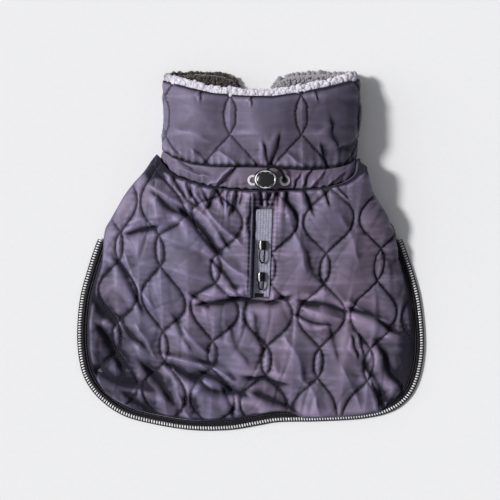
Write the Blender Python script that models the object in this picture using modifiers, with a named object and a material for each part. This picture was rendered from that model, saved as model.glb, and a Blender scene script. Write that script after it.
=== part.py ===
"""Quilted dog winter coat, laid flat with its back up: walls of cloth on a hollow body and neck.

Metres, Z up. All the sizes below are in millimetres; put() turns them into metres.
X is the coat's width, Y runs from the hem to the neck, Z is the height above the floor.
"""

import math

import bmesh
import bpy
import numpy as np
from mathutils import Matrix, Vector
from mathutils.bvhtree import BVHTree

COAT = "dog_winter_coat"
MM = 0.001
SEAM_GAP = 0.3  # between two pieces at a seam

# Cloth walls
PANEL_WALL = 3.8  # quilted back: cover, wadding and lining
WING_WALL = 3.0
BAND_WALL = 3.0
SHELL_WALL = 3.4
PILE_WALL = 5.2  # fleece inside the collar
PILE_PROUD = 7.0  # fleece standing past the collar's rim
BINDING_WIDE, BINDING_HIGH = 5.4, 5.0
PIPING_WIDE, PIPING_HIGH = 3.4, 3.6
WING_BINDING_WIDE, WING_BINDING_HIGH = 7.0, 3.6

# Edge of the coat on the floor, from the left fold round the hem to the right fold: x, y
EDGE = (
    (-149.5, 16.0), (-154.5, 6.5), (-162.5, -17.5), (-170.5, -47.5), (-173.5, -83.5),
    (-171.0, -112.0), (-164.5, -131.5), (-150.5, -149.5), (-128.0, -165.0), (-98.5, -173.5),
    (-60.0, -179.6), (-22.0, -179.6), (8.0, -174.8), (28.0, -171.6), (70.0, -170.8),
    (112.0, -168.2), (140.0, -161.5), (157.5, -149.0), (167.5, -131.5), (172.8, -108.0),
    (173.5, -83.5), (169.5, -47.5), (161.5, -17.5), (153.5, 6.5), (148.5, 17.5),
)
LEFT_CORNER, RIGHT_CORNER = (-150.5, -149.5), (157.5, -149.0)
# Shoulder folds from the neck down to where the edge comes out: x, y
LEFT_FOLD = ((-93.5, 96.0), (-98.5, 90.0), (-106.5, 78.5), (-117.5, 66.5), (-126.5, 54.5),
             (-133.5, 42.5), (-140.5, 30.5), (-146.0, 19.5))
RIGHT_FOLD = ((109.0, 92.0), (111.0, 84.5), (114.0, 77.5), (119.5, 66.5), (124.5, 54.5),
              (132.5, 42.5), (138.5, 30.5), (145.0, 19.5))
FOLD_ENDS = 15.0  # y below which the side lies flat
TRIM_STARTS = 5.5  # y where the binding comes out from under the fold
# Where the back panel meets the neck band: x, y
NECK_LINE = ((-93.5, 96.0), (-88.5, 87.0), (-76.5, 75.6), (-58.5, 68.6), (-37.5, 62.6),
             (-2.5, 59.6), (39.5, 59.6), (74.5, 62.6), (93.5, 67.6), (105.5, 77.0),
             (109.0, 92.0))
# Back panel down its middle: share of the way to the hem, crown height, fold height, roundness
BACK = (
    (0.00, 43.5, 18.0, 0.50), (0.10, 42.5, 14.0, 0.52), (0.22, 39.5, 9.0, 0.58),
    (0.34, 34.5, 5.4, 0.68), (0.50, 27.5, 5.0, 0.78), (0.66, 20.5, 5.0, 0.82),
    (0.82, 13.5, 5.0, 0.86), (0.93, 8.5, 5.0, 0.90), (1.00, 5.0, 5.0, 1.00),
)
CROWN_POWER = 2.4
BACK_COLUMNS, BACK_ROWS = 29, 26
# Largest folds: x and y of both ends, half width, rise (troughs are below nought)
FOLDS = (
    (-92.0, 52.0, -36.0, 4.0, 8.0, -4.2), (-80.0, 62.0, -22.0, 12.0, 9.0, 3.0),
    (-132.0, -10.0, -108.0, -56.0, 8.0, -3.4), (-122.0, 22.0, -98.0, 22.0, 8.0, -3.2),
    (-60.0, -46.0, 36.0, -47.0, 7.0, -3.6), (-80.0, -106.0, -22.0, -128.0, 8.0, 2.8),
    (60.0, -58.0, 96.0, -58.0, 8.0, -2.6), (52.0, -70.0, 132.0, -76.0, 9.0, 2.4),
    (-150.0, -124.0, -92.0, -134.0, 8.0, -2.6), (128.0, -104.0, 148.0, -134.0, 9.0, -2.6),
)

# Neck tube: the share of the way from its lower to its upper edge, left x, right x, height
TUBE_SIDES = ((-0.25, -87.0, 103.2, 45.0), (0.0, -86.5, 104.0, 44.5), (0.3, -85.5, 106.6, 47.0),
              (0.6, -85.0, 108.0, 46.5), (1.0, -86.0, 106.5, 42.5))
TUBE_POWER, SIDE_HEIGHT, UNDER_ROUND = 2.4, 19.0, 20.0
TOP_COLUMNS, SIDE_COLUMNS, UNDER_COLUMNS = 18, 3, 4
BAND_RISE = 1.6  # the drawstring channel is puffed out this much
# Throat slit: x of the left and right ends at the rim and at the band
SLIT_RIM, SLIT_BAND = (-10.5, 21.5), (-3.0, 8.0)
# Upper layer: x, band's lower edge, seam of band and collar, collar's rim
UPPER = (
    (-87.0, 90.5, 100.0, 169.5), (-76.5, 76.5, 92.5, 166.0), (-58.5, 69.5, 86.0, 160.5),
    (-37.5, 63.5, 83.4, 155.4), (-2.5, 60.5, 83.2, 152.2), (22.5, 60.5, 82.4, 152.2),
    (46.5, 61.0, 80.5, 156.0), (74.5, 63.5, 80.8, 161.5), (93.5, 68.5, 85.0, 167.0),
    (101.0, 74.0, 88.5, 169.5), (104.0, 80.0, 93.0, 170.3), (105.6, 92.5, 99.0, 170.5),
)
# Throat layers: share of the way from the side fold to the slit, and the same three lines
UNDER = ((0.0, 94.0, 104.0, 172.0), (0.2, 98.0, 108.0, 173.0), (0.7, 98.0, 108.0, 171.0),
         (0.9, 98.0, 108.0, 166.0), (1.0, 98.0, 108.0, 157.5))

# Chest wings
WING_UNDER = 10.0  # how far the fold turns under
WING_NECK = 97.5
LEFT_WING_EDGE = ((-128.0, 31.0), (-100.0, 42.0), (-60.0, 40.0), (-18.0, 34.0))
RIGHT_WING_EDGE = ((126.0, 32.0), (98.0, 42.0), (60.0, 40.0), (18.0, 34.0))
LEFT_WING_END, RIGHT_WING_END = ((20.0, 96.0), (24.0, 34.0)), ((-18.0, 96.0), (-24.0, 34.0))
WING_ROWS, WING_TURN = 14, 4
LAP_FROM, LAP_TO, LAP_LIFT = -72.0, -44.0, 5.9  # the left wing rises over the right one
PATCH_SIZE, PATCH_AT, PATCH_THICK = (28.0, 40.0), (0.0, 66.0), 1.0

# Zip down the middle of the back: y of its ends, x of its middle there, width
ZIP_TOP, ZIP_FOOT = (13.6, 40.5), (10.6, -46.0)
ZIP_WIDE, ZIP_THICK = 16.0, 1.2
WELT_TOP, WELT_FOOT = (2.4, 56.5), (-0.6, -46.5)
WELT_WIDE, WELT_THICK = 3.0, 2.2
STOP_AT, STOP_SIZE = (8.4, -44.2), (9.0, 4.0, 2.0)
# Sliders: name, x, y of the pull tab's pin
SLIDERS = (("upper", 11.6, 5.8), ("lower", 10.4, -25.4))
SLIDER_SIZE = (8.0, 9.0, 2.2)
PIN_UP = 1.6  # the pin above the slider's top
BRIDGE_WIDE, BRIDGE_LONG, BRIDGE_WALL, BRIDGE_BORE = 2.4, 5.0, 0.8, 2.4
TAB_WIDE, TAB_THICK, PIN_THICK, TAB_SLOT = 7.6, 1.4, 1.2, 3.4
TAB_LONG = {"upper": 20.0, "lower": 15.0}
TAB_DROOP = 5.0

# Cord lock and eyelets on the neck band
LOCK_AT, LOCK_SIZE = (15.0, 69.5), (20.0, 18.0, 12.0)
PLUNGER_SIZE, PLUNGER_OUT = (12.0, 10.0, 5.4), 3.4
POCKET_ROOM, POCKET_DEEP = 0.4, 14.6
BORE = 4.4
EYELETS = (("left", 2.6, 69.0), ("right", 33.6, 69.0))
EYELET_OUTER, EYELET_INNER, EYELET_THICK = 11.0, 5.6, 2.0
CORD_THICK = 3.0

COLOURS = {
    "nylon": (0.085, 0.062, 0.094, 0.42), "nylon_under": (0.05, 0.04, 0.056, 0.6),
    "fleece": (0.45, 0.43, 0.52, 0.95), "tape": (0.022, 0.018, 0.024, 0.7),
    "ladder": (0.4, 0.39, 0.42, 0.6), "zip": (0.3, 0.28, 0.37, 0.5),
    "black": (0.012, 0.011, 0.013, 0.25), "metal": (0.62, 0.6, 0.63, 0.25),
    "hook_loop": (0.02, 0.018, 0.022, 0.9),
}


def clear_scene():
    for thing in list(bpy.data.objects):
        bpy.data.objects.remove(thing, do_unlink=True)


def collections():
    coat = bpy.data.collections.new(COAT)
    cutters = bpy.data.collections.new(COAT + "_cutters")
    for group in (coat, cutters):
        bpy.context.scene.collection.children.link(group)
    cutters.hide_render = True
    return coat, cutters


def material(name):
    r, g, b, rough = COLOURS[name]
    made = bpy.data.materials.new(name)
    made.use_nodes = True
    shader = made.node_tree.nodes["Principled BSDF"]
    shader.inputs["Base Color"].default_value = (r, g, b, 1.0)
    shader.inputs["Roughness"].default_value = rough
    shader.inputs["Metallic"].default_value = 1.0 if name == "metal" else 0.0
    made.diffuse_color = (r, g, b, 1.0)
    return made


def put(name, points, faces, look, where, parent=None):
    """An object from points in millimetres and faces facing out."""
    mesh = bpy.data.meshes.new(name)
    mesh.from_pydata([tuple(p) for p in np.asarray(points, float) * MM], [], faces)
    mesh.validate()
    mesh.materials.append(material(look))
    made = bpy.data.objects.new(name, mesh)
    made.parent = parent
    where.objects.link(made)
    return made


def wall(name, outer, inner, look, where):
    """A closed wall between two grids of the same size: outer's rows and columns face out."""
    rows, columns = outer.shape[:2]
    at = lambda layer, i, j: layer * rows * columns + i * columns + j
    faces = []
    for i in range(rows - 1):
        for j in range(columns - 1):
            faces.append((at(0, i, j), at(0, i + 1, j), at(0, i + 1, j + 1), at(0, i, j + 1)))
            faces.append((at(1, i, j), at(1, i, j + 1), at(1, i + 1, j + 1), at(1, i + 1, j)))
    for i in range(rows - 1):
        faces.append((at(0, i, 0), at(1, i, 0), at(1, i + 1, 0), at(0, i + 1, 0)))
        j = columns - 1
        faces.append((at(0, i, j), at(0, i + 1, j), at(1, i + 1, j), at(1, i, j)))
    for j in range(columns - 1):
        faces.append((at(0, 0, j), at(0, 0, j + 1), at(1, 0, j + 1), at(1, 0, j)))
        i = rows - 1
        faces.append((at(0, i, j), at(1, i, j), at(1, i, j + 1), at(0, i, j + 1)))
    points = np.concatenate([outer.reshape(-1, 3), inner.reshape(-1, 3)])
    made = put(name, points, faces, look, where)
    face_out(made)
    return made


def face_out(thing):
    shape = bmesh.new()
    shape.from_mesh(thing.data)
    bmesh.ops.recalc_face_normals(shape, faces=shape.faces)
    if shape.calc_volume(signed=True) < 0:
        bmesh.ops.reverse_faces(shape, faces=shape.faces)
    shape.to_mesh(thing.data)
    shape.free()


def column(table, key, value, at):
    """One named column of a table of rows, read at the given places."""
    rows = np.array(table, float)
    return np.interp(at, rows[:, key], rows[:, value])


def curve(points, count=240):
    """Evenly spaced points of a smooth line through the given ones."""
    p = np.asarray(points, float)
    p = np.vstack([2 * p[0] - p[1], p, 2 * p[-1] - p[-2]])
    t = np.linspace(0, 1, 14, endpoint=False)[:, None]
    line = []
    for a, b, c, d in zip(p, p[1:], p[2:], p[3:]):
        line.append(b + 0.5 * t * (c - a + t * (2 * a - 5 * b + 4 * c - d
                                                + t * (3 * (b - c) + d - a))))
    return spaced(np.vstack(line + [p[-2][None]]), count)


def spaced(line, count):
    along = travel(line)
    return np.column_stack([np.interp(np.linspace(0, along[-1], count), along, line[:, k])
                            for k in range(line.shape[1])])


def travel(line):
    return np.concatenate([[0], np.cumsum(np.linalg.norm(np.diff(line, axis=0), axis=1))])


def shifted(line, away):
    """A flat line moved to its left by away."""
    run = np.gradient(line, axis=0)
    run /= np.linalg.norm(run, axis=1)[:, None]
    return line + away * np.column_stack([-run[:, 1], run[:, 0]])


def nearest(line, point):
    return int(np.linalg.norm(line - np.array(point), axis=1).argmin())


def along(line, shares):
    step = travel(line)
    return np.column_stack([np.interp(np.asarray(shares) * step[-1], step, line[:, k])
                            for k in range(line.shape[1])])


def patch(top, foot, left, right, across, down):
    """Points between four lines; across and down are shares from 0 to 1."""
    s, t = np.meshgrid(across, down)
    s, t = s[..., None], t[..., None]
    a, b = along(top, across)[None], along(foot, across)[None]
    c, d = along(left, down)[:, None], along(right, down)[:, None]
    corners = ((1 - s) * (1 - t) * top[0] + s * (1 - t) * top[-1]
               + (1 - s) * t * foot[0] + s * t * foot[-1])
    return (1 - t) * a + t * b + (1 - s) * c + s * d - corners


def inwards(grid, thick, flip=1.0):
    """The grid moved by thick along its normals."""
    normal = np.cross(np.gradient(grid, axis=1), np.gradient(grid, axis=0))
    normal /= np.maximum(np.linalg.norm(normal, axis=2), 1e-9)[..., None]
    return grid + flip * thick * normal


def fold_rise(x, y):
    rise = np.zeros_like(x)
    for x0, y0, x1, y1, half, height in FOLDS:
        long = math.hypot(x1 - x0, y1 - y0)
        run = np.clip(((x - x0) * (x1 - x0) + (y - y0) * (y1 - y0)) / long ** 2, 0, 1)
        off = np.hypot(x - x0 - run * (x1 - x0), y - y0 - run * (y1 - y0))
        rise += height * np.exp(-((off / half) ** 2)) * np.sin(math.pi * (0.2 + 0.6 * run))
    return rise


def crown(s, t):
    """Height of the back at s from -1 to 1 across and t from 0 to 1 down."""
    high, side, power = (column(BACK, 0, k, t) for k in (1, 2, 3))
    return side + (high - side) * np.maximum(1 - np.abs(s) ** CROWN_POWER, 0) ** power


def back_grid():
    edge = shifted(curve(EDGE), BINDING_WIDE + PIPING_WIDE + 3 * SEAM_GAP)
    a, b = nearest(edge, LEFT_CORNER), nearest(edge, RIGHT_CORNER)
    turn = np.linspace(-math.pi / 2, math.pi / 2, BACK_COLUMNS)
    s = 0.45 * turn / turn[-1] + 0.55 * np.sin(turn)
    down = np.linspace(0, 1, BACK_ROWS)
    left = curve(list(LEFT_FOLD) + list(edge[8:a:6]) + [edge[a]])
    right = curve(list(RIGHT_FOLD) + list(edge[-9:b:-6]) + [edge[b]])
    flat = patch(curve(NECK_LINE), edge[a:b + 1], left, right, (s + 1) / 2, down)
    across, run = np.meshgrid(s, down)
    high = crown(across, run)
    ease = np.clip(3.0 * (1 - np.abs(across)), 0, 1) * np.clip(8 * run, 0, 1)
    ease *= np.clip(6 * (1 - run), 0, 1)
    high = high + ease * fold_rise(flat[..., 0], flat[..., 1])
    return np.dstack([flat, high])


def back_panel(where):
    outer = back_grid()
    inner = inwards(outer, PANEL_WALL, -1.0)
    if inner[..., 2].mean() > outer[..., 2].mean():
        inner = inwards(outer, PANEL_WALL, 1.0)
    inner[..., 2] = np.maximum(inner[..., 2], 0.6)
    for side, beside in ((0, 1), (-1, -2)):
        folded = outer[:, side, 1] > FOLD_ENDS
        for j in (side, beside):
            inner[folded, j, 2] = np.maximum(inner[folded, j, 2], outer[folded, side, 2])
    return wall("back_panel", outer, inner, "nylon", where)


def tube_section(share):
    """One section of the neck tube, from the left slit's end round to the right one's: x, z,
    the height's share of the side fold, and how far each column is under (negative: upper)."""
    left, right, high = (np.interp(share, *zip(*[(r[0], r[k]) for r in TUBE_SIDES]))
                         for k in (1, 2, 3))
    mid, half = (left + right) / 2, (right - left) / 2
    turn = np.linspace(-math.pi / 2, math.pi / 2, TOP_COLUMNS)
    u = 0.35 * turn / turn[-1] + 0.65 * np.sin(turn)
    top_z = SIDE_HEIGHT + (high - SIDE_HEIGHT) * np.sqrt(1 - np.abs(u) ** TUBE_POWER)
    ends = [a + (b - a) * max(share, 0) for a, b in zip(SLIT_BAND, SLIT_RIM)]
    rounds = np.linspace(0, math.pi / 2, SIDE_COLUMNS + 1)[1:]
    run = np.linspace(0, 1, UNDER_COLUMNS + 1)[1:]
    run = run ** 0.8
    sides = []
    for sign, end, side in ((-1, ends[0], left), (1, ends[1], right)):
        x = list(side - sign * UNDER_ROUND * (1 - np.cos(rounds)))
        z = list(SIDE_HEIGHT * (1 - np.sin(rounds)))
        under = list(np.zeros(SIDE_COLUMNS))
        x += list(x[-1] + (end - x[-1]) * run)
        z += [0.0] * UNDER_COLUMNS
        under += list(run)
        sides.append((np.array(x), np.array(z), np.array(under)))
    (lx, lz, lu), (rx, rz, ru) = sides
    turned = np.full(TOP_COLUMNS, -1.0)
    turned[0] = turned[-1] = 0.0
    around = np.concatenate([lu[::-1], turned, ru])
    side_turn = np.concatenate([np.clip(rounds[::-1] / (math.pi / 2), 0, 1)])
    lift = np.concatenate([np.ones(UNDER_COLUMNS), side_turn, np.zeros(TOP_COLUMNS),
                           side_turn[::-1], np.ones(UNDER_COLUMNS)])
    return (np.concatenate([lx[::-1], mid + half * u, rx]),
            np.concatenate([lz[::-1], top_z, rz]), around, lift)


def tube_lines(x, around, lift):
    """The band's lower edge, the seam and the rim at each column of a section."""
    lines = []
    for k in (1, 2, 3):
        upper = column(UPPER, 0, k, x)
        under = column(UNDER, 0, k, np.clip(around, 0, 1))
        ease = lift * lift * (3 - 2 * lift)
        lines.append(np.where(lift > 0, (1 - ease) * np.where(
            x < 0, UPPER[0][k], UPPER[-1][k]) + ease * under, upper))
    return lines


def tube_grid(shares, depth, past=None):
    """Points of the neck tube at these shares (0 its seam, 1 its rim, -1 the band's lower edge),
    each moved in by its depth."""
    rows = []
    for n, (share, deep) in enumerate(zip(shares, depth)):
        x, z, around, lift = tube_section(share if share >= 0 else 0.25 * share)
        low, seam, rim = tube_lines(x, around, lift)
        y = seam + share * (rim - seam) if share >= 0 else seam + share * (seam - low)
        if past is not None:
            y = y + past[n]
        run = np.gradient(np.column_stack([x, z]), axis=0)
        run /= np.linalg.norm(run, axis=1)[:, None]
        rows.append(np.column_stack([x + deep * run[:, 1], y, z - deep * run[:, 0]]))
    return np.array(rows)


def collar_shell(where):
    shares = np.array([0.0, 0.12, 0.3, 0.5, 0.7, 0.88, 1.0])
    flat = np.zeros(len(shares))
    return wall("collar_shell", tube_grid(shares, flat), tube_grid(shares, flat + SHELL_WALL),
                "nylon", where)


def collar_lining(where):
    shares = np.array([0.02, 0.25, 0.5, 0.75, 1.0, 1.0, 1.0, 1.0])
    past = np.array([0, 0, 0, 0, 0, SEAM_GAP + 0.2, 4.0, PILE_PROUD])
    back = SHELL_WALL + SEAM_GAP
    outer = np.array([back, back, back, back, back, 0.9, 0.4, 3.4])
    inner = np.array([back + PILE_WALL] * 6 + [back + PILE_WALL - 0.4, back + 1.4])
    return wall("collar_lining", tube_grid(shares, outer, past), tube_grid(shares, inner, past),
                "fleece", where)


def neck_band(where):
    shares = np.array([-1.0, -0.85, -0.6, -0.35, -0.15, 0.0])
    past = np.array([0.0, 0.0, 0.0, 0.0, 0.0, -2 * SEAM_GAP])
    puff = -BAND_RISE * np.sin(np.pi * np.array([0.05, 0.3, 0.6, 0.75, 0.5, 0.1]))
    outer, inner = (tube_grid(shares, deep, past) for deep in (puff, puff + BAND_WALL))
    outer[..., 2] = np.maximum(outer[..., 2], 0.0)
    return wall("neck_band", outer, inner, "nylon", where)


def strip(name, line, wide, high, look, where, base=None, crowned=0.8):
    """A band of cloth along a flat line, wide to its left, resting at base."""
    base = np.zeros(len(line)) if base is None else base
    steps = np.array([0.0, 0.5, 1.0])
    rise = np.array([1 - crowned * 0.5, 1.0, 1 - crowned * 0.5])
    rows = [shifted(line, wide * s) for s in steps]
    outer = np.array([np.column_stack([r, base + high * k]) for r, k in zip(rows, rise)])
    inner = np.array([np.column_stack([r, base]) for r in rows])
    return wall(name, outer, inner, look, where)


def edge_trim(where):
    edge = curve(EDGE)
    edge = edge[edge[:, 1] < TRIM_STARTS]
    edge = spaced(edge, 96)
    strip("edge_piping", edge, PIPING_WIDE, PIPING_HIGH, "ladder", where,
          np.full(len(edge), SEAM_GAP))
    strip("edge_binding", spaced(shifted(edge, PIPING_WIDE + SEAM_GAP), 96), BINDING_WIDE,
          BINDING_HIGH, "tape", where, crowned=0.4)


def wing(side, lower, end, where):
    """A chest wing: from the shoulder fold, turned under, to its end on the chest."""
    left = side == "left"
    fold = back_grid()[:, 0 if left else -1]
    fold = fold[fold[:, 1] > FOLD_ENDS]
    fold_line, height = fold[:, :2], fold[:, 2] - SEAM_GAP
    down = travel(fold_line) / travel(fold_line)[-1]
    run = np.gradient(fold_line, axis=0)
    run /= np.linalg.norm(run, axis=1)[:, None]
    inward = np.column_stack([-run[:, 1], run[:, 0]]) * (1 if left else -1)
    deep = np.interp(down, (0, 1), (WING_UNDER, 5.0))
    rows, inner = [], []
    for turn in np.linspace(0, math.pi / 2, WING_TURN):
        away = deep * (1 - math.cos(turn))
        rows.append(np.column_stack([fold_line + inward * away[:, None],
                                     height * (1 - math.sin(turn))]))
        in_deep, in_high = np.maximum(deep - WING_WALL, 1.5), np.maximum(height - WING_WALL, 1.2)
        away = deep - in_deep * math.cos(turn)
        inner.append(np.column_stack([fold_line + inward * away[:, None],
                                      height - in_high * math.sin(turn)]))
    start = rows[-1][:, :2]
    neck = np.array([start[0], (start[0] + end[0]) / 2, end[0]])
    edge = curve([tuple(start[-1])] + list(lower) + [end[1]], 60)
    flat = patch(start, np.array(end), neck, edge, down, np.linspace(0, 1, WING_ROWS)[1:])
    lift = lap(flat[..., 0]) if left else np.zeros(flat.shape[:2])
    thick = np.array([inner[-1][:, 2]] + [np.full(len(down), WING_WALL)] * (WING_ROWS - 2))
    thick[0] = (inner[-1][:, 2] + WING_WALL) / 2
    rows += list(np.dstack([flat, lift]))
    inner += list(np.dstack([flat, lift + thick]))
    wall("chest_wing_" + side, np.array(rows), np.array(inner), "nylon_under", where)
    wing_binding(side, np.vstack([start[-1:], flat[:, -1]]), left, where)


def lap(x):
    run = np.clip((x - LAP_FROM) / (LAP_TO - LAP_FROM), 0, 1)
    return LAP_LIFT * run * run * (3 - 2 * run)


def wing_binding(side, edge, left, where):
    path = shifted(edge, SEAM_GAP * (-1 if left else 1))[2:]
    path = path[::-1] if left else path
    base = lap(path[:, 0]) if left else np.zeros(len(path))
    strip("wing_binding_" + side, path, WING_BINDING_WIDE, WING_BINDING_HIGH, "tape",
          where, base, crowned=0.3)


def box(name, size, centre, look, where, parent=None, rounding=0.0):
    bpy.ops.mesh.primitive_cube_add(size=1, location=(0, 0, 0))
    made = bpy.context.object
    made.name = made.data.name = name
    made.data.transform(Matrix.Diagonal((*(v * MM for v in size), 1)))
    made.data.materials.append(material(look))
    for group in list(made.users_collection):
        group.objects.unlink(made)
    where.objects.link(made)
    made.parent = parent
    made.location = Vector(centre) * MM
    if rounding:
        soft = made.modifiers.new("rounding", "BEVEL")
        soft.width, soft.segments, soft.limit_method = rounding * MM, 2, "ANGLE"
    return made


def patches(where):
    for name, base in (("loop_patch", WING_WALL + SEAM_GAP),
                       ("hook_patch", WING_WALL + 2 * SEAM_GAP + PATCH_THICK)):
        box(name, (*PATCH_SIZE, PATCH_THICK), (*PATCH_AT, base + PATCH_THICK / 2),
            "hook_loop", where)


def surface(*things):
    """A function that gives the height of the topmost of these objects at x, y."""
    trees = [BVHTree.FromPolygons([v.co / MM for v in t.data.vertices],
                                  [tuple(f.vertices) for f in t.data.polygons])
             for t in things]

    def height(x, y):
        hits = [tree.ray_cast(Vector((x, y, 200.0)), Vector((0, 0, -1.0)))[0] for tree in trees]
        return max(h.z for h in hits if h is not None)
    return height


def laid(name, top, foot, wide, thick, look, height, where, columns=4, rows=18, clear=0.6):
    """A strip lying on the surface, from top to foot, wide to both sides of its middle."""
    across = np.linspace(-wide / 2, wide / 2, columns)
    lower = np.array([[(x + dx, y, height(x + dx, y) + clear) for dx in across]
                      for x, y in np.linspace(top, foot, rows)])
    lower[..., 2] = np.maximum(lower[..., 2], lower[..., 2].mean(axis=1)[:, None])
    upper = lower + np.array((0.0, 0.0, thick))
    return wall(name, upper, lower, look, where)


def slope(height, x, y, span=8.0):
    return math.atan2(height(x, y + span) - height(x, y - span), 2 * span)


def zip_stop(height, where):
    x, y = STOP_AT
    made = box("zip_stop", STOP_SIZE, (x, y, height(x, y) + STOP_SIZE[2] / 2 + 0.6), "black",
               where, rounding=0.5)
    made.rotation_euler.x = slope(height, x, y)


def slider(name, x, y, height, where, cutters):
    """A zip slider and, on its pin, the pull tab: they share one frame tilted to the cloth."""
    lean = slope(height, x, y)
    top = height(x, y) + 0.5
    frame = bpy.data.objects.new("zip_frame_" + name, None)
    where.objects.link(frame)
    pin_up = SLIDER_SIZE[2] + PIN_UP
    frame.location = Vector((x, y, top + pin_up)) * MM
    frame.rotation_euler.x = lean
    body = box("zip_slider_" + name, SLIDER_SIZE, (0, -1.0, SLIDER_SIZE[2] / 2 - pin_up), "black",
               where, frame, rounding=0.7)
    arch_high = PIN_UP + BRIDGE_BORE / 2 + BRIDGE_WALL + 0.6
    arch = box("arch_" + name, (BRIDGE_WIDE, BRIDGE_LONG, arch_high),
               (0, 0, SLIDER_SIZE[2] - pin_up - 0.6 + arch_high / 2), "black", cutters, frame)
    hole = box("arch_hole_" + name, (BRIDGE_WIDE * 3, BRIDGE_BORE, BRIDGE_BORE), (0, 0, 0),
               "black", cutters, frame)
    join(body, arch, "UNION")
    join(body, hole, "DIFFERENCE")
    pull_tab(name, frame, where, cutters)


def join(body, other, operation):
    for helper in (other,):
        helper.hide_render = True
        helper.display_type = "WIRE"
    step = body.modifiers.new(operation.lower() + "_" + other.name, "BOOLEAN")
    step.operation, step.object, step.solver = operation, other, "EXACT"


def pull_tab(name, frame, where, cutters):
    hinge = bpy.data.objects.new("zip_hinge_" + name, None)
    where.objects.link(hinge)
    hinge.parent = frame
    hinge.rotation_euler.x = math.radians(TAB_DROOP)
    long = TAB_LONG[name]
    tab = box("zip_pull_" + name, (TAB_WIDE, long, TAB_THICK),
              (0, -long / 2 + PIN_THICK / 2, 0), "black", where, hinge, rounding=0.35)
    gate = box("tab_gate_" + name, (TAB_SLOT, BRIDGE_LONG + 1.6, TAB_THICK * 3),
               (0, -PIN_THICK / 2 - (BRIDGE_LONG + 1.6) / 2, 0), "black", cutters, hinge)
    eye_long = long - BRIDGE_LONG - 7.6
    eye = box("tab_eye_" + name, (TAB_WIDE - 4.4, eye_long, TAB_THICK * 3),
              (0, -long + 2.4 + eye_long / 2, 0), "black", cutters, hinge)
    join(tab, gate, "DIFFERENCE")
    join(tab, eye, "DIFFERENCE")
    tab.modifiers.move(0, len(tab.modifiers) - 1)


def eyelet(name, x, y, height, where):
    bpy.ops.mesh.primitive_torus_add(
        major_radius=(EYELET_OUTER + EYELET_INNER) / 4 * MM,
        minor_radius=(EYELET_OUTER - EYELET_INNER) / 4 * MM,
        major_segments=24, minor_segments=6)
    made = bpy.context.object
    made.name = made.data.name = "eyelet_" + name
    flatten = EYELET_THICK / ((EYELET_OUTER - EYELET_INNER) / 2)
    made.data.transform(Matrix.Diagonal((1, 1, flatten, 1)))
    made.data.materials.append(material("metal"))
    for group in list(made.users_collection):
        group.objects.unlink(made)
    where.objects.link(made)
    made.location = Vector((x, y, height(x, y) + EYELET_THICK / 2 + 0.45)) * MM
    made.rotation_euler.x = slope(height, x, y, 4.0)
    return made


def cord_lock(height, where, cutters):
    """The lock's body with its pocket and cord bore, and the plunger in the pocket."""
    x, y = LOCK_AT
    wide, long, high = LOCK_SIZE
    floor = height(x, y) + EYELET_THICK + 0.9
    centre = (x, y, floor + high / 2)
    bpy.ops.mesh.primitive_uv_sphere_add(segments=28, ring_count=14, radius=1)
    body = bpy.context.object
    body.name = body.data.name = "cord_lock_body"
    squared = [Vector([math.copysign(abs(c) ** 0.8, c) for c in v.co]) for v in
               body.data.vertices]
    for vertex, co in zip(body.data.vertices, squared):
        vertex.co = (co.x * wide / 2 * MM, co.y * long / 2 * MM, co.z * high / 2 * MM)
    body.data.materials.append(material("black"))
    for group in list(body.users_collection):
        group.objects.unlink(body)
    where.objects.link(body)
    body.location = Vector(centre) * MM
    px, py, pz = PLUNGER_SIZE
    pocket = box("lock_pocket", (POCKET_DEEP, py + POCKET_ROOM * 2, pz + POCKET_ROOM * 2),
                 (wide / 2 + 4.0 - POCKET_DEEP / 2, 0, 0), "black", cutters, body)
    bore = box("lock_bore", (BORE, long * 1.4, BORE), (2.0, 0, 0), "black", cutters, body)
    join(body, pocket, "DIFFERENCE")
    join(body, bore, "DIFFERENCE")
    box("cord_lock_plunger", (px, py, pz),
                  (x + wide / 2 + PLUNGER_OUT - px / 2, y, centre[2]), "black", where,
                  rounding=0.6)
    return floor + high / 2


def drawcords(middle, height, where):
    """From each eyelet up into the lock: the right one shows, the left one is under the lock."""
    x, y = EYELETS[1][1:]
    low = height(x, y)
    drawcord("drawcord_right", ((x, y, low + 0.9), (x - 0.4, y + 2.6, low + 4.0),
                                (x - 3.6, y + 8.8, low + 7.4), (x - 9.0, y + 12.8, middle - 0.6),
                                (x - 13.6, y + 13.4, middle), (LOCK_AT[0] + 2.0, y + 11.2, middle),
                                (LOCK_AT[0] + 2.0, y + 7.4, middle)), where)


def drawcord(name, points, where):
    """A round cord through the given points."""
    data = bpy.data.curves.new(name, "CURVE")
    data.dimensions, data.bevel_depth, data.bevel_resolution = "3D", CORD_THICK / 2 * MM, 2
    data.use_fill_caps = True
    line = data.splines.new("POLY")
    smooth = curve(points, 12)
    line.points.add(len(smooth) - 1)
    for point, at in zip(line.points, smooth):
        point.co = (*(at * MM), 1)
    data.materials.append(material("tape"))
    made = bpy.data.objects.new(name, data)
    where.objects.link(made)


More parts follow.
